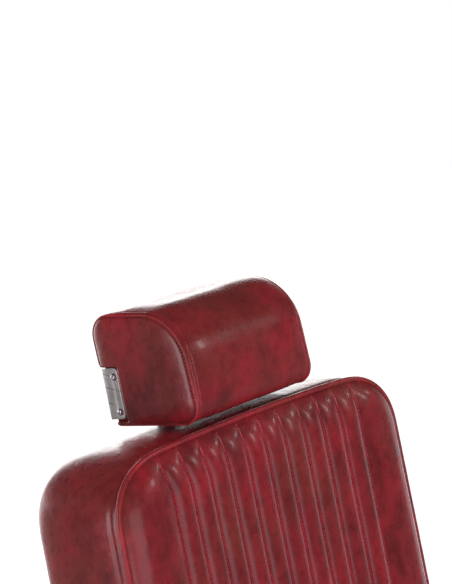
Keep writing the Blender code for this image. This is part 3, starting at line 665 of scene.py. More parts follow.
# its frame comes from the joints on it: the headrest slides along V, the knob points out of its rear
RECLINED = frame_at(
    joints["recline"]["pos_m"],
    (1, 0, 0),
    Vector(joints["headrest_height"]["axis"]).normalized(),
    -Vector(joints["knob_turn"]["axis"]).normalized(),
)


def sewn_lines(channels=CHANNELS):
    return [(k - channels / 2) * CHANNEL_PITCH for k in range(channels + 1)]


def channel_relief(slab, side_reach, roll):
    """1 along the crowns of the channels and over the side panels, 0 at the sewn lines and at the welt."""
    u = slab.grid[..., 0]
    beyond = np.clip(np.maximum(slab.lines[0] - u, u - slab.lines[-1]), 0, None)
    relief = 1 - (1 - (beyond / side_reach).clip(0, 1)) ** 2.2
    for a, b in zip(slab.lines[:-1], slab.lines[1:]):
        inside = (u >= a - 1e-9) & (u <= b + 1e-9)
        across = (u[inside] - a) / (b - a)
        relief[inside] = (4 * across * (1 - across)).clip(0) ** 0.85
    return relief * rolled(slab.inset, roll, 1.6, 1.2)


def lumps_of(slab, seed, coarse=(9, 0.0014), fine=(30, 0.0005, 4.0)):
    """The unevenness of stuffing: (features per metre, height) of broad lumps and of small ones."""
    points = raised(slab.grid.reshape(-1, 2), 0)
    lumps = wobble(points, coarse[0], seed) * coarse[1] + wobble(points, fine[0], seed + fine[2]) * fine[1]
    return lumps.reshape(slab.inset.shape)


def back_heights(slab):
    """W of the back's face: channels between the sewn lines, plain panels beside them, rolled down to the welt."""
    relief = channel_relief(slab, SIDE_REACH, 0.024)
    lumps = lumps_of(slab, 3.1, (9, 0.0012), (31, 0.0004, 4.6))
    depth = EDGE_ROLL + (SIDE_ROLL - EDGE_ROLL) * eased(np.abs(slab.grid[..., 0]), 0.15, 0.25)
    rise = VALLEY_RISE + (CHANNEL_RELIEF + lumps) * relief
    return WELT_W - FACE_EDGE + (rise + FACE_EDGE) * rolled(slab.inset, depth, 2.0, 2.0)


def drift_lines(slab):
    """Below their straight tops, the left-hand lines crowd a little towards the back's left side."""
    u, v = slab.grid[..., 0], slab.grid[..., 1]
    share = (-u / (CHANNELS / 2 * CHANNEL_PITCH)).clip(0, 1) ** 2
    slab.grid[..., 0] = u + CHANNEL_DRIFT * share * eased(BACK_HIGH - v, 0.005, 0.055) * (slab.inset / 0.05).clip(0, 1)


def band_rows(near, far, bulge, rows=26, edge=0.003, crowding=0.7, turns=4):
    """(outset, w) rows of the boxing from near down to far: a soft bulge, and a lower edge turned in."""
    found = []
    for t in ramped(rows, crowding):
        found.append((bulge * (1 - abs(2 * t - 1) ** 2.3) ** 0.8, near + (far + edge - near) * t))
    for turn in np.linspace(0, pi / 2, turns)[1:]:
        found.append((-edge * (1 - cos(turn)), far + edge - edge * sin(turn)))
    return np.array(found)


def back_band():
    """The boxing of the back, wider to the rear, with a shallow tuck behind the welt."""
    near, far = WELT_W - FACE_EDGE, BACK_REAR_W + 0.002
    rows = band_rows(near, far, BAND_BULGE, 44, REAR_ROLL, 0.75, 5)
    w = rows[:, 1]
    rows[:, 0] += BAND_REAR_OUT * ((near - w) / (near - far - REAR_ROLL)).clip(0, 1)
    rows[:, 0] -= 0.0009 * np.exp(-(((w - WELT_W + 0.0125) / 0.0022) ** 2))
    return rows


def sew(name, slab, heights, matrix, body, clear, *thread):
    """Stitches along the sewn lines of a slab, down to a clear distance inside its edge."""
    paths, normals = [], []
    for k in range(len(slab.lines)):
        column = slab.side_columns + k * slab.per_channel
        path = raised(slab.grid[column], heights[column])[slab.inset[column] > clear]
        slope = tangents(path, closed=False)
        paths.append(placed(matrix, path))
        normals.append(np.stack([slope[:, 0], -slope[:, 2], slope[:, 1]], axis=1) @ np.array(matrix.to_3x3()).T)
    piece(name, stitches(paths, normals, STITCH_PITCH, *thread), body, "thread")


def welt(name, slab, matrix, w, radius, body, outset=0.0, seed=5.0):
    """Piping round a slab, a little uneven as hand-sewn piping is."""
    loop = slab.loop[::2]
    loop = loop + outward(loop) * outset
    ring = raised(loop, w)
    sway = 1 + 0.05 * wobble(ring, 60, seed)
    return piece(name, tube(placed(matrix, ring), radius * sway, 14, closed=True), body, "welt")


def padded_piece(name, slab, heights, band, matrix, body, fill, *nodes):
    """A padded slab; its fill argument is not used."""
    cushion = piece(name, slab_body(slab, heights, band, matrix), body, "padded", *nodes)


def make_back():
    slab = Slab(back_outline(), sewn_lines())
    heights = back_heights(slab)
    drift_lines(slab)
    nodes = "backrest_cushion", "back_board"
    padded_piece("back_cushion", slab, heights, back_band(), RECLINED, "backrest", SOFTER, *nodes)
    welt("back_welt", slab, RECLINED, WELT_W, WELT_R, "backrest")
    sew("back_channel_stitching", slab, heights, RECLINED, "backrest", 0.003, 0.0041, 0.00052, 0.6)

    rear = Slab(back_outline() * (0.972, 0.985) + (0, 0.0059), [-0.12, 0.12], 16, 16, 60)
    flip = RECLINED @ Matrix.Diagonal((1, 1, -1, 1))
    front = -BACK_REAR_W - 0.0014
    crown = 0.0013 * rolled(rear.inset, 0.03, 2.0, 2.0)
    edge = [(0.0004, front - 0.0008), (0.0005, front - 0.0018), (0.0, front - 0.003)]
    piece("back_rear_panel", slab_body(rear, front + crown, edge, flip), "backrest", "leatherette", "back_panel")
    welt("back_rear_welt", rear, flip, front - 0.0008, 0.0026, "backrest", outset=0.0016)


# ---- the headrest

# (v, w) corners: rear bottom, front bottom, front top, rear top, rear middle
HEAD_PROFILE = ((0.7061, -0.088), (0.7016, 0.0548), (0.8397, 0.0476), (0.8486, -0.1003), (0.7896, -0.0985))
HEAD_HALF = 0.111
HEAD_RADII = (0.009, 0.026, 0.066, 0.028, 0.01)
HEAD_CROWN = 0.0062
HEAD_DOME = 0.006
SHOULDER_FULL = 0.35
HEM_FIRM = 0.8
DOME_REACH = 0.034
NOTCH_V = (0.7106, 0.7802)
NOTCH_W = -0.0704  # how far round the ends the bracket's cheeks reach
NOTCH_U = 0.1065
NOTCH_REAR_W = -0.0928
LIP_ABOVE = 0.0024
LIP_BESIDE = 0.0075
BEAD_R = 0.0013
END_ROW = 0.0024  # of near-black stitches inside the end seam, a painted shade of its needle holes
BODY_ROW = 0.0068  # of crimson stitches outside it
CREASE = (0.712, 0.0509)
REAR_FLAT_W = (-0.09, -0.04)  # between these the crown fades out towards the rear


def seam_allowance(distance, row):
    """Height beside a seam: the groove, the folded allowance, and the dimple of its row of stitches."""
    return (
        -0.0012 * np.exp(-((distance / 0.0009) ** 2))
        + 0.0006 * np.exp(-(((distance - 0.55 * row) / (0.25 * row)) ** 2))
        - 0.0006 * np.exp(-(((distance - row) / 0.0009) ** 2))
    )


def eased(value, low, high):
    t = np.clip((value - low) / (high - low), 0, 1)
    return t * t * (3 - 2 * t)


def notched(uvw):
    """Presses the leather in where the bracket wraps round the rear and both ends, with soft lips above and beside."""
    u, v, w = uvw[:, 0], uvw[:, 1], uvw[:, 2]
    low, high = NOTCH_V
    beside = eased(v, low - 0.0015, low + 0.0015) * (1 - eased(v, high - 0.001, high + LIP_ABOVE))
    beside = np.where(v < high, np.maximum(beside, eased(v, low + 0.001, low + 0.002)), beside)
    ends = beside * (1 - eased(w, NOTCH_W - 0.001, NOTCH_W + LIP_BESIDE))
    ends = np.where((w < NOTCH_W) & (v < high) & (v > low + 0.001), 1.0, ends)
    u = u + np.sign(u) * (np.minimum(np.abs(u), NOTCH_U) - np.abs(u)) * ends
    w = w + (np.maximum(w, NOTCH_REAR_W) - w) * beside
    return np.stack([u, v, w], axis=1)


def crown_share(u):
    """How full the headrest is at a place along it: it swells quickly from both ends."""
    return rolled(HEAD_HALF - abs(u), 0.046, 2.0, 1.7)


def seam_paths(loop, out, u, lift, inset=0.0):
    """World-space path and normals along the headrest's end seam, open where the bracket covers it."""
    around = loop - out * inset + out * lift
    row = np.column_stack([np.full(len(around), u), around])
    clear = (row[:, 1] < NOTCH_V[0] - 0.001) | (row[:, 1] > NOTCH_V[1] + 0.004) | (row[:, 2] > NOTCH_W + 0.004)
    covered = int(np.argmin(clear))
    row, clear, up = (np.roll(a, -covered, axis=0) for a in (row, clear, out))
    first = int(np.argmax(clear))
    last = len(clear) - int(np.argmax(clear[::-1]))
    row, up = row[first:last], up[first:last]
    leaning, facing = (copysign(0.8, u), 0.6) if inset else (0.0, 1.0)
    up = np.column_stack([np.full(len(up), leaning), facing * up])
    return placed(RECLINED, notched(row)), up @ np.array(RECLINED.to_3x3()).T


def make_headrest():
    loop = resampled(rounded(HEAD_PROFILE, HEAD_RADII, 20), 360, closed=True)
    out = outward(loop)
    soft = eased(loop[:, 1], *REAR_FLAT_W)  # the rear stays flat against its board
    soft = soft * (1 - eased(-out[:, 0], 0.05, 0.65))  # and so does the underside
    full = SHOULDER_FULL * eased(loop[:, 0], 0.775, 0.825) - HEM_FIRM * (1 - eased(loop[:, 0], 0.705, 0.765))
    soft = soft * (1 + full * eased(out[:, 1], 0.0, 0.5))
    crease = np.exp(-((np.linalg.norm(loop - CREASE, axis=1) / 0.0016) ** 2))
    count = len(loop)
    stations = HEAD_HALF * (2 * ramped(150, 0.86) - 1)[:, None]
    within = HEAD_HALF - np.abs(stations)
    swell = crown_share(stations) * (HEAD_CROWN * soft + 0.0009 * crease) + seam_allowance(within, BODY_ROW)
    sheet = np.dstack([np.broadcast_to(stations, swell.shape), loop + out * swell[..., None]])
    folds = wobble(sheet.reshape(-1, 3), 24, 2.0).reshape(swell.shape)
    sheet[..., 1:] += out * (folds * 0.0007 * rolled(within, 0.02))[..., None]
    parts = [(notched(sheet.reshape(-1, 3)), grid_faces(len(stations), count, wrap_rows=True))]
    middle = np.array([(HEAD_PROFILE[0][0] + HEAD_PROFILE[2][0]) / 2, -0.02])
    rings = np.array([middle + (loop - middle) * (1 - s) for s in np.linspace(0, 1, 64) ** 1.35])
    inset = depths_inside(loop, rings).ravel()
    dome = HEAD_DOME * rolled(inset, DOME_REACH, 2.2, 1.7) + seam_allowance(inset, END_ROW)
    for sign in (-1, 1):
        cap = np.column_stack([sign * (HEAD_HALF + dome), rings.reshape(-1, 2)])
        cap[:, 0] += sign * 0.0007 * wobble(cap, 26, 4.0 + sign) * (np.abs(cap[:, 0]) > HEAD_HALF + 0.001)
        parts.append((notched(cap), grid_faces(len(rings), count, wrap_rows=True)))
    points, faces = joined(parts)
    cushion = mesh_object("headrest_pad", placed(RECLINED, points), faces, merge=2e-5)
    finish_piece(cushion, "headrest", "padded", "headrest_cushion")

    beads, body_rows, end_rows = [], [], []
    rise = HEAD_DOME * float(rolled(np.array([END_ROW]), DOME_REACH, 2.2, 1.7)[0]) - 0.0005
    for sign in (-1, 1):
        path, _ = seam_paths(loop, out, sign * (HEAD_HALF - 0.0002), -0.0004)
        beads.append(tube(path, BEAD_R * (1 + 0.08 * wobble(path, 90, 2.0)), 10))
        u = HEAD_HALF - BODY_ROW
        lift = (HEAD_CROWN * crown_share(u) * soft - 0.0006)[:, None]
        body_rows.append(seam_paths(loop, out, sign * u, lift))
        end_rows.append(seam_paths(loop, out, sign * (HEAD_HALF + rise), 0.0, END_ROW))
    piece("headrest_seam_beads", joined(beads), "headrest", "bead")
    for name, rows, look, radius in (
        ("headrest_topstitching", body_rows, "thread", 0.00036),
        ("headrest_end_stitching", end_rows, "painted_shade_thread", 0.00042),
    ):
        piece(name, stitches(*zip(*rows), 0.0044, 0.003, radius), "headrest", look)


# ---- the other padded pieces

SEAT_EDGE_Z = 0.48
SEAT_RISE = 0.0185
SEAT_TUCK = 0.012
SEAT_LINES = 10
ARM_X = 0.312
ARM_EDGE_Z = 0.737
CALF_LINES = 6
CALF_EDGE_W = 0.033
CALF_REAR_W = 0.0106
CALF_RISE = 0.0105
CALF_RELIEF = 0.0036


def make_seat_cushion():
    low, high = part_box("seat_cushion")
    outline = box_outline((0, low.y), (high.x, high.y), 0.06, 0.03)
    slab = Slab(outline, sewn_lines(SEAT_LINES), rows=170, side_columns=24)
    level = Matrix.Identity(4)
    v = slab.grid[..., 1]
    dip = np.exp(-((slab.grid[..., 0] / 0.17) ** 2) - ((v + 0.06) / 0.15) ** 2)
    relief = channel_relief(slab, SIDE_REACH, 0.03)
    rise = SEAT_RISE + (CHANNEL_RELIEF + lumps_of(slab, 1.3)) * relief - 0.0045 * dip
    heights = SEAT_EDGE_Z + rise * rolled(slab.inset, 0.055, 2.1, 2.0)
    band = band_rows(SEAT_EDGE_Z, low.z, 0.0062, edge=SEAT_TUCK)
    padded_piece("seat_pad", slab, heights, band, level, "seat", FIRM, "seat_cushion")
    welt("seat_welt_upper", slab, level, SEAT_EDGE_Z + 0.0025, WELT_R, "seat", 0.0006)
    welt("seat_welt_lower", slab, level, low.z + SEAT_TUCK + 0.0015, 0.003, "seat", 0.0022, seed=9.0)
    sew("seat_channel_stitching", slab, heights, level, "seat", 0.003, 0.004, 0.00044)


def make_arm_pads():
    for side, sign in SIDES:
        low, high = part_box(f"arm_pad_{side}")
        half = (high.x - low.x) / 2
        outline = box_outline((0, low.y), (half, high.y), 0.021, 0.021)
        slab = Slab(outline, [-0.01, 0.01], 10, 14, 110, 0.5)
        place = Matrix.Translation((sign * ARM_X, 0, 0))
        crown = rolled(slab.inset, 0.023, 2.2, 2.0)
        heights = ARM_EDGE_Z + (high.z - ARM_EDGE_Z + lumps_of(slab, 6.0 + sign)) * crown
        band = band_rows(ARM_EDGE_Z, low.z, 0.0024, 16, 0.002)
        name = f"arm_pad_{side}_upholstery"
        padded_piece(name, slab, heights, band, place, "seat", FIRM, f"arm_pad_{side}")
        welt(f"arm_pad_{side}_welt", slab, place, ARM_EDGE_Z + 0.0012, 0.0023, "seat", 0.0003, seed=sign)
        ring = resampled(slab.loop, 700, closed=True)
        out = raised(outward(ring), 0)
        path = raised(ring, low.z + 0.0065) + out * 0.0019
        path, out = placed(place, np.vstack([path, path[:1]])), np.vstack([out, out[:1]])
        piece(f"arm_pad_{side}_stitching", stitches([path], [out], STITCH_PITCH, 0.0036, 0.00042), "seat", "thread")


def make_calf_pad():
    """The leg rest's pad, in its own frame: V up the pad, W out of its face."""
    axis = Vector(joints["legrest_raise"]["pos_m"])
    down = (Vector(joints["footplate_flip"]["pos_m"]) - axis).normalized()
    place = frame_at(axis, (1, 0, 0), -down, Vector((1, 0, 0)).cross(-down))
    outline = box_outline((0, -0.158), (0.145, -0.022), 0.022, 0.022)
    slab = Slab(outline, sewn_lines(CALF_LINES), 12, 18, 90)
    relief = channel_relief(slab, 0.028, 0.02)
    rise = CALF_RISE + (CALF_RELIEF + lumps_of(slab, 2.2)) * relief
    heights = CALF_EDGE_W + rise * rolled(slab.inset, 0.03, 2.1, 2.0)
    band = band_rows(CALF_EDGE_W, CALF_REAR_W, 0.003, 18)
    padded_piece("calf_pad_upholstery", slab, heights, band, place, "legrest", FIRM, "calf_pad")
    welt("calf_pad_welt", slab, place, CALF_EDGE_W + 0.0015, 0.0026, "legrest", 0.0004, seed=11.0)
    sew("calf_pad_stitching", slab, heights, place, "legrest", 0.0028, 0.0038, 0.00042)


# ---- metal, rubber and plastic


SHARP = radians(50)
MM = 0.001


def lathe(name, body, look, node, steps, profile, closed=True, ripple=None):
    """A turned piece that stands for a CAD node, its corners eased. Its profile is in millimetres."""
    profile = filleted(np.multiply(profile, MM), closed=closed)
    piece(name, turned(profile, steps, closed=closed, ripple=ripple), body, look, node, crease=SHARP)


def refined(node, look, width=0.0006):
    """The CAD node's shape with its flat faces cleaned up and its edges eased, standing for the node."""
    source = frame["nodes"][node]
    bm = bmesh.new()
    bm.from_mesh(source.data)
    bmesh.ops.remove_doubles(bm, verts=bm.verts, dist=1e-5)
    bmesh.ops.dissolve_limit(bm, angle_limit=radians(1.5), verts=bm.verts, edges=bm.edges)
    bmesh.ops.recalc_face_normals(bm, faces=bm.faces)
    edges = [e for e in bm.edges if len(e.link_faces) == 2 and e.calc_face_angle(0) > radians(38)]
    bmesh.ops.bevel(
        bm, geom=edges, offset=width, offset_type="OFFSET", segments=2, profile=0.5, affect="EDGES", clamp_overlap=True
    )
    mesh = bpy.data.meshes.new(f"{node}_finished")
    bm.to_mesh(mesh)
    bm.free()
    mesh.shade_smooth()
    mesh.set_sharp_from_angle(angle=radians(32))
    finish_piece(linked(f"{node}_finished", mesh), source["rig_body"], look, node)


def make_base_plate():
    crown = rounded([(90, 52), (118, 51.5), (262, 19), (290, 16)], [0, 90, 120, 0], 16, closed=False)
    lathe("base_dome", "base", "base", "base_plate", 256, [
        (0, 52), *crown, (296.5, 13.5), (299.5, 9.5), (299.8, 1.5), (299.2, 0),
        (290, 0), (286, 9.5), (200, 24.5), (115, 40.5), (88, 40), (88, 0), (0, 0),
    ], closed=False)
    lathe("base_edge_bumper", "base", "black_rubber", "base_edge_ring", 256, [
        (300.1, 0), (306, 0), (307, 2), (306.4, 3.2), (307, 4.4),
        (306.6, 6.2), (305.8, 7.2), (306, 8.4), (304, 11), (300.1, 11),
    ])


def make_pump_body():
    """The pump's housing on its flange, with the two welded ears that hold the pedal's pin."""
    body = np.multiply([
        (0, 52.3), (88, 52.3), (88, 60.3), (86, 62.3), (66.5, 62.3), (62, 66.8),
        (60, 72.3), (60, 258), (57, 262), (40.5, 262), (40.5, 78), (0, 78),
    ], MM)
    parts = [turned(filleted(body, 0.0012), 160)]
    foot, top = 0.0603, 0.107
    ear = rounded([(0.05, foot), (0.11, foot), (0.11, top), (0.05, top)], [0, 0, 0.012, 0], 8)
    for middle in (-0.0155, 0.0155):
        loft, faces = stacked(ear, [(0.0008, -0.005), (0.0, -0.0042), (0.0, 0.0042), (0.0008, 0.005)])
        parts.append((np.stack([loft[:, 2] + middle, loft[:, 0], loft[:, 1]], axis=1), faces))
        for sign in (-1, 1):
            bead = [(middle + sign * 0.0062, 0.06, z) for z in np.linspace(0.0663, 0.104, 24)]
            parts.append(tube(bead, 0.0016 * (1 + 0.18 * np.sin(np.arange(24) * 2.1)), 8))
    piece("pump_body", joined(parts), "base", "satin_steel", "pump_housing", crease=SHARP)


def make_column():
    """The turned pieces above the pump's body, up to the seat's turntable."""
    lathe("pump_cover_shell", "base", "chrome", "pump_cover", 192, [
        (60.5, 116), (66.5, 116), (66.5, 120), (64, 124), (64, 228), (64.8, 229.5),
        (64.8, 232.5), (64, 234), (64, 238), (61.5, 242), (60.5, 242),
    ])
    lathe("gland_nut_knurled", "base", "chrome", "gland_nut", 288, [
        (25.5, 250.3), (40, 250.3), (40, 262.3), (49.5, 262.3), (50, 264),
        (50, 269), (49, 270.3), (44.5, 275), (43, 275.3), (25.5, 275.3),
    ], ripple=(48, 0.0004, 0.046))
    lathe("rod_wiper_seal", "base", "black_rubber", "rod_wiper", 96, [
        (25.3, 275.6), (34, 275.6), (33.5, 277.6), (30, 278.6), (26.2, 280.6), (25.3, 280.4),
    ])
    lathe("lift_rod", "lift", "chrome", "piston_rod", 128, [
        (0, 82), (39.7, 82), (39.7, 104), (25, 104), (25, 300), (18, 300),
        (18, 333.5), (17.4, 334.1), (18, 334.7), (18, 344), (16.5, 346), (0, 346),
    ], closed=False)
    lathe("turntable_dish", "lift", "satin_steel", "turntable_lower", 192, [
        (18.3, 300.3), (52, 300.3), (62, 301.2), (88, 305.6), (90, 306.6), (90, 312.3), (18.3, 312.3),
    ])
    lathe("bearing_race", "lift", "bright_fasteners", "thrust_bearing", 160, [
        (32, 312.6), (70, 312.6), (70, 315.3), (68.8, 315.7), (68.8, 316.5), (70, 316.9), (70, 319.6), (32, 319.6),
    ])
    lathe("turntable_plate", "seat", "satin_steel", "turntable_upper", 192, [
        (18.8, 320.3), (95, 320.3), (95, 325.2), (93.8, 326.2),
        (93.8, 327.2), (95, 328.2), (95, 332.2), (18.8, 332.2),
    ])


def make_arms():
    """The bent tubes, each welded to two round flanges that four screws hold."""
    front, rear, low, top = -0.215, 0.05, 0.356, 0.7
    inner, flange_face, bolt_circle = 0.232, 0.2383, 0.0205
    flange = [(0, 0.2303), (0.0258, 0.2303), (0.026, 0.2308), (0.026, 0.2366), (0.0244, flange_face)]
    flange += [(0.0165, flange_face), (0.015, 0.2396), (0.0137, 0.242), (0, 0.242)]
    for side, sign in SIDES:
        route = [(inner, front, low), (ARM_X, front, low), (ARM_X, front - 0.03, top), (ARM_X, rear + 0.025, top)]
        route += [(ARM_X, rear, low), (inner, rear, low)]
        path = rounded([(sign * x, y, z) for x, y, z in route], [0, 0.035, 0.055, 0.055, 0.035, 0], 14, closed=False)
        parts, heads = [tube(resampled(path, 260), 0.0135, 36)], []
        for y in (front, rear):
            parts.append(turned([(r, sign * x) for r, x in flange], 96, "X", (0, y, low)))
            for turn in np.radians((45, 135, 225, 315)):
                spot = (sign * flange_face, y + bolt_circle * cos(turn), low + bolt_circle * sin(turn))
                place = Matrix.Translation(spot) @ Matrix.Rotation(sign * pi / 2, 4, "Y")
                heads.append(screw_head(0.0032, 0.0016, place))
        piece(f"arm_{side}_tube", joined(parts), "seat", "chrome", f"arm_frame_{side}", crease=SHARP)
        piece(f"arm_{side}_screws", joined(heads), "seat", "bright_fasteners")


def screw_head(radius, height, place, steps=48):
    """(points, faces) of a domed screw head with a cross recess, standing on the XY plane of its place."""
    profile = [(radius, -0.0003), (radius, 0.12 * height)]
    for t in np.linspace(0.08, pi / 2, 16):
        profile.append((radius * cos(t), height * (0.12 + 0.88 * sin(t))))
    points, faces = turned(profile, steps)
    x, y = np.abs(points[:, 0]), np.abs(points[:, 1])
    arm, reach = 0.17 * radius, 0.56 * radius
    recess = ((np.minimum(x, y) < arm) & (np.maximum(x, y) < reach)) & (points[:, 2] > 0)
    points[:, 2] -= np.where(recess, 0.45 * height, 0)
    return placed(place, points), faces


def make_bracket_screws():
    for side, sign in SIDES:
        for number in (1, 2):
            node = f"bracket_screw_{side}_{number}"
            low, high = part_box(node)
            middle = (low + high) / 2
            turn = Matrix.Rotation(sign * pi / 2, 4, "Y") @ Matrix.Rotation(0.5 + number, 4, "Z")
            place = Matrix.Translation((sign * (HEAD_HALF - 0.0005), middle.y, middle.z)) @ turn
            piece(f"{node}_head", screw_head(0.0046, 0.0031, place), "headrest", "bright_fasteners", node)


def make_knob():
    turn = RECLINED.to_3x3()
    place = frame_at(joints["knob_turn"]["pos_m"], turn.col[0], -turn.col[1], -turn.col[2])
    profile = np.multiply([
        (0, 16.2), (4, 16.2), (4, 22.4), (10, 22.4), (10.4, 26.4), (18, 26.4),
        (19.5, 28.2), (19.7, 36.2), (17, 39.4), (9, 40), (7.8, 39), (0, 39),
    ], MM)
    points, faces = turned(filleted(profile, 0.001), 192, ripple=(8, 0.0013, 0.015))
    piece("clamp_knob", (placed(place, points), faces), "knob", "black_plastic", "lock_knob")


def make_grip():
    """The recline lever's grip, with finger grooves every 7.5 mm."""
    profile = [(0.0048, -0.182), (0.008, -0.182), (0.0096, -0.1795)]
    for y in np.linspace(-0.176, -0.122, 55):
        groove = 0.0006 * (0.5 + 0.5 * cos(y * 2 * pi / 0.0075)) ** 3
        profile.append((0.0105 + 0.001 * sin((y + 0.176) / 0.068 * pi) - groove, y))
    profile += [(0.0098, -0.116), (0.0104, -0.1135), (0.0104, -0.11), (0.0092, -0.108), (0.0048, -0.108)]
    x, y, z = joints["lever_pull"]["pos_m"]
    shape = turned(profile, 64, "Y", (x, y, z - 0.004), closed=True)
    piece("lever_hand_grip", shape, "recline_lever", "black_plastic", "lever_grip")


def ribbed_mat(name, node, body, corner, pitch, bar):
    """A rubber mat with rounded ribs across it, inside the box of its CAD node."""
    low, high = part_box(node)
    corners = [(low.x, low.y), (high.x, low.y), (high.x, high.y), (low.x, high.y)]
    floor = low.z + 0.55 * (high.z - low.z)
    outline = resampled(rounded(corners, corner, 8), 200, closed=True)
    parts = [stacked(outline, [(0.0, low.z), (0.0, floor - 0.001), (0.0004, floor - 0.0003), (0.0012, floor)])]
    parts.append(tube(raised(outline - outward(outline) * 0.0036, floor), 0.0018, 10, closed=True))
    count = int((high.y - low.y - 2 * corner) / pitch) + 1
    xs = np.linspace(low.x + corner, high.x - corner, 30)
    radius = bar * np.sqrt(np.clip(1 - np.abs(np.linspace(-1, 1, 30)) ** 16, 0.12, 1))
    for k in range(count):
        y = (low.y + high.y) / 2 + (k - (count - 1) / 2) * pitch
        parts.append(tube([(x, y, high.z - bar) for x in xs], radius, 12))
    piece(name, joined(parts), body, "black_rubber", node)


REFINED = {  # the CAD nodes that need only their edges eased, by look
    "satin_steel": (
        "seat_frame hinge_bracket_left hinge_bracket_right hinge_strap_left hinge_strap_right torque_tube "
        "strut_cylinder legrest_arm_left legrest_arm_right recline_lever"
    ),
    "chrome": "pedal_lever headrest_post headrest_receiver strut_rod",
    "polished_aluminium": "footplate",
    "bright_fasteners": (
        "flange_bolt_1 flange_bolt_2 flange_bolt_3 flange_bolt_4 pedal_pin spindle_nut legrest_rod footplate_rod "
        "recline_pin_left recline_pin_right strut_pin tilt_pin"
    ),
    "plywood": "seat_pan calf_board",
}


# ---- camera, floor and light


def make_camera():
    data = bpy.data.cameras.new("camera")
    data.sensor_width = SENSOR_MM
    data.lens = CAMERA_LENS_MM
    data.clip_end = 100
    camera = linked("camera", data)
    level = cos(CAMERA_DOWN)
    ahead = Vector((-sin(CAMERA_AZIMUTH) * level, cos(CAMERA_AZIMUTH) * level, -sin(CAMERA_DOWN)))
    camera.location = Vector(CAMERA_TARGET) - ahead * CAMERA_DISTANCE
    camera.rotation_euler = ahead.to_track_quat("-Z", "Y").to_euler()
    bpy.context.scene.camera = camera


CHAIR = (0, 0.3, 0.95)  # what most lamps point at


def softbox(name, centre, size, radiance, colour=(1, 1, 1), target=CHAIR, lights=(), spares=(), **sight):
    """An area light of that radiance, out of the camera's sight. It lights all but some pieces, or only some."""
    data = bpy.data.lights.new(name, "AREA")
    data.shape = "RECTANGLE"
    data.size, data.size_y = size
    data.energy = radiance * pi * size[0] * size[1]
    data.color = colour
    light = linked(name, data)
    light.location = centre
    light.rotation_euler = (Vector(target) - Vector(centre)).to_track_quat("-Z", "Y").to_euler()
    light.visible_camera = False
    light.visible_glossy = sight.get("glossy", True)
    light.visible_diffuse = sight.get("diffuse", True)
    if lights or spares:
        chosen = bpy.data.collections.new(f"{name}_pieces")
        for obj in lights or spares:
            chosen.objects.link(obj)
        light.light_linking.receiver_collection = chosen
        for entry in chosen.collection_objects:
            entry.light_linking.link_state = "INCLUDE" if lights else "EXCLUDE"


AMBIENT = 0.48
STUDIO_DARK = 0.058
STUDIO_FLOOR = 0.15
BACKDROP = 3.3
BACKDROP_TOP = 0.15  # the sine of its elevation
BACKDROP_WAY = (0.451, 0.892)  # from the chair, in plan
FLOOR_RADIUS = 6.0
FLOOR_GLOW = 0.5  # the floor is lit from below, so it stays white round the chair


def make_world():
    """White to the camera, an even fill on matt surfaces, and in reflections a dim studio.

    A long lit backdrop stands low behind the chair, and below the horizon is a grey floor."""
    world = bpy.data.worlds.new("studio")
    bpy.context.scene.world = world
    world.use_nodes = True
    tree = world.node_tree
    tree.nodes.clear()
    path = tree.nodes.new("ShaderNodeLightPath")
    way = tree.nodes.new("ShaderNodeTexCoord").outputs["Generated"]
    height = add(tree, "ShaderNodeSeparateXYZ", {"Vector": way}).outputs["Z"]

    def dot(x, y):
        return add(tree, "ShaderNodeVectorMath", {0: way, 1: (x, y, 0)}, operation="DOT_PRODUCT").outputs["Value"]

    def maths(operation, first, second):
        return add(tree, "ShaderNodeMath", {0: first, 1: second}, operation=operation).outputs["Value"]

    def between(value, low, high, start=0.0, end=1.0):
        inputs = {"Value": value, "From Min": low, "From Max": high, "To Min": start, "To Max": end}
        return add(tree, "ShaderNodeMapRange", inputs, interpolation_type="SMOOTHSTEP").outputs["Result"]

    level = maths("SQRT", maths("SUBTRACT", 1.0, maths("MULTIPLY", height, height)), 0.0)
    x, y = BACKDROP_WAY
    facing = maths("DIVIDE", dot(x, y), level)
    wide = between(facing, 0.6, 0.8)
    tall = between(height, BACKDROP_TOP - 0.04, BACKDROP_TOP + 0.04, 1.0, 0.0)
    above = between(height, -0.5, -0.36)
    lit = maths("MULTIPLY", maths("MULTIPLY", wide, tall), above)
    ground = mix(tree, between(height, -0.1, 0.02), STUDIO_FLOOR, STUDIO_DARK)
    shown = mix(tree, lit, ground, BACKDROP)
    colour = mix(tree, path.outputs["Is Diffuse Ray"], shown, AMBIENT)
    colour = mix(tree, path.outputs["Is Camera Ray"], colour, 1.0)
    background = add(tree, "ShaderNodeBackground", {"Color": colour})
    output = tree.nodes.new("ShaderNodeOutputWorld")
    tree.links.new(background.outputs["Background"], output.inputs["Surface"])


def make_floor():
    """A plain pale studio floor."""
    material, tree, shader = new_material("studio_floor", Roughness=0.9, Specular_IOR_Level=0.1)
    dust = noise_value(tree, 3, 2, 0.5)
    tree.links.new(ramp(tree, dust, (0.2, 0.9), (0.8, 0.93)), shader.inputs["Base Color"])
    shader.inputs["Emission Color"].default_value = (1, 1, 1, 1)
    shader.inputs["Emission Strength"].default_value = FLOOR_GLOW
    points = [(FLOOR_RADIUS * cos(t), FLOOR_RADIUS * sin(t), -0.0005) for t in circle(128)]
    floor = mesh_object("studio_floor", points, [range(len(points))], merge=0)
    floor.data.materials.append(material)
    floor.visible_glossy = False


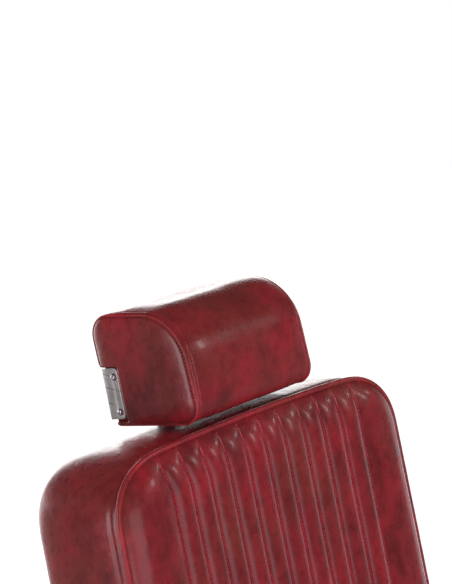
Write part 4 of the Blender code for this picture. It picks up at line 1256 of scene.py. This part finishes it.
def make_lights(shiny):
    """The studio's lamps, and a ring of large panels that only the shiny pieces reflect."""
    headrest = bpy.data.objects["headrest_pad"]
    softbox("front_softbox", (-0.62, -2.75, 1.32), (1.6, 1.8), 1.15, (1.0, 0.86, 0.96))
    softbox("front_fill", (-0.7, -2.95, 1.75), (1.4, 1.4), 4.6, glossy=False)
    softbox("key_lamp", (2.72, -0.72, 2.36), (0.24, 0.24), 10.0, spares=(headrest,))
    softbox("high_lamp", (1.6, -1.6, 2.26), (0.36, 0.56), 6.5, target=(0, 0.33, 1.2))
    softbox("left_strip", (-2.97, 0.8, 1.14), (0.85, 1.7), 3.8, (1.0, 0.9, 0.96), diffuse=False)
    softbox("low_left_lamp", (-1.66, -1.7, 0.74), (0.4, 0.5), 5.0, (1.0, 0.93, 0.97), diffuse=False)
    softbox("low_right_strip", (3.15, -0.12, 0.58), (0.9, 1.4), 1.0, (1.0, 0.9, 0.92), diffuse=False)
    softbox("rear_light", (-2.2, 2.9, 1.6), (1.2, 1.2), 4.0, (1.0, 0.6, 0.65), glossy=False)
    for k in range(4):
        turn = radians(22 + 90 * k)
        spot = (4.6 * cos(turn), 4.6 * sin(turn), 1.9)
        softbox(f"chrome_panel_{k}", spot, (3.6, 2.6), 0.85, target=(0, 0, 0.4), diffuse=False, lights=shiny)
    data = bpy.data.lights.new("overhead_fill", "SUN")
    data.energy = 0.45
    data.angle = radians(50)
    sun = linked("overhead_fill", data)
    sun.rotation_euler = (radians(8), radians(-6), 0)
    sun.visible_glossy = False


# ---- the chair


def main():
    make_camera()
    make_world()
    make_floor()
    bpy.context.scene.view_settings.view_transform = "Standard"
    make_back()
    make_headrest()
    make_seat_cushion()
    make_arm_pads()
    make_calf_pad()
    make_base_plate()
    make_pump_body()
    make_column()
    make_arms()
    make_bracket_screws()
    make_knob()
    make_grip()
    ribbed_mat("footplate_tread", "footplate_mat", "footplate", 0.015, 0.0095, 0.0021)
    ribbed_mat("pedal_tread", "pedal_pad", "pedal", 0.012, 0.0085, 0.0024)
    for look, nodes in REFINED.items():
        for node in nodes.split():
            refined(node, look)
    refined("headrest_bracket", "bracket", 0.0007)
    shiny = [PAINT[look][0] for look in ("chrome", "polished_aluminium")]
    make_lights([obj for obj in bpy.data.objects if obj.active_material in shiny])


main()
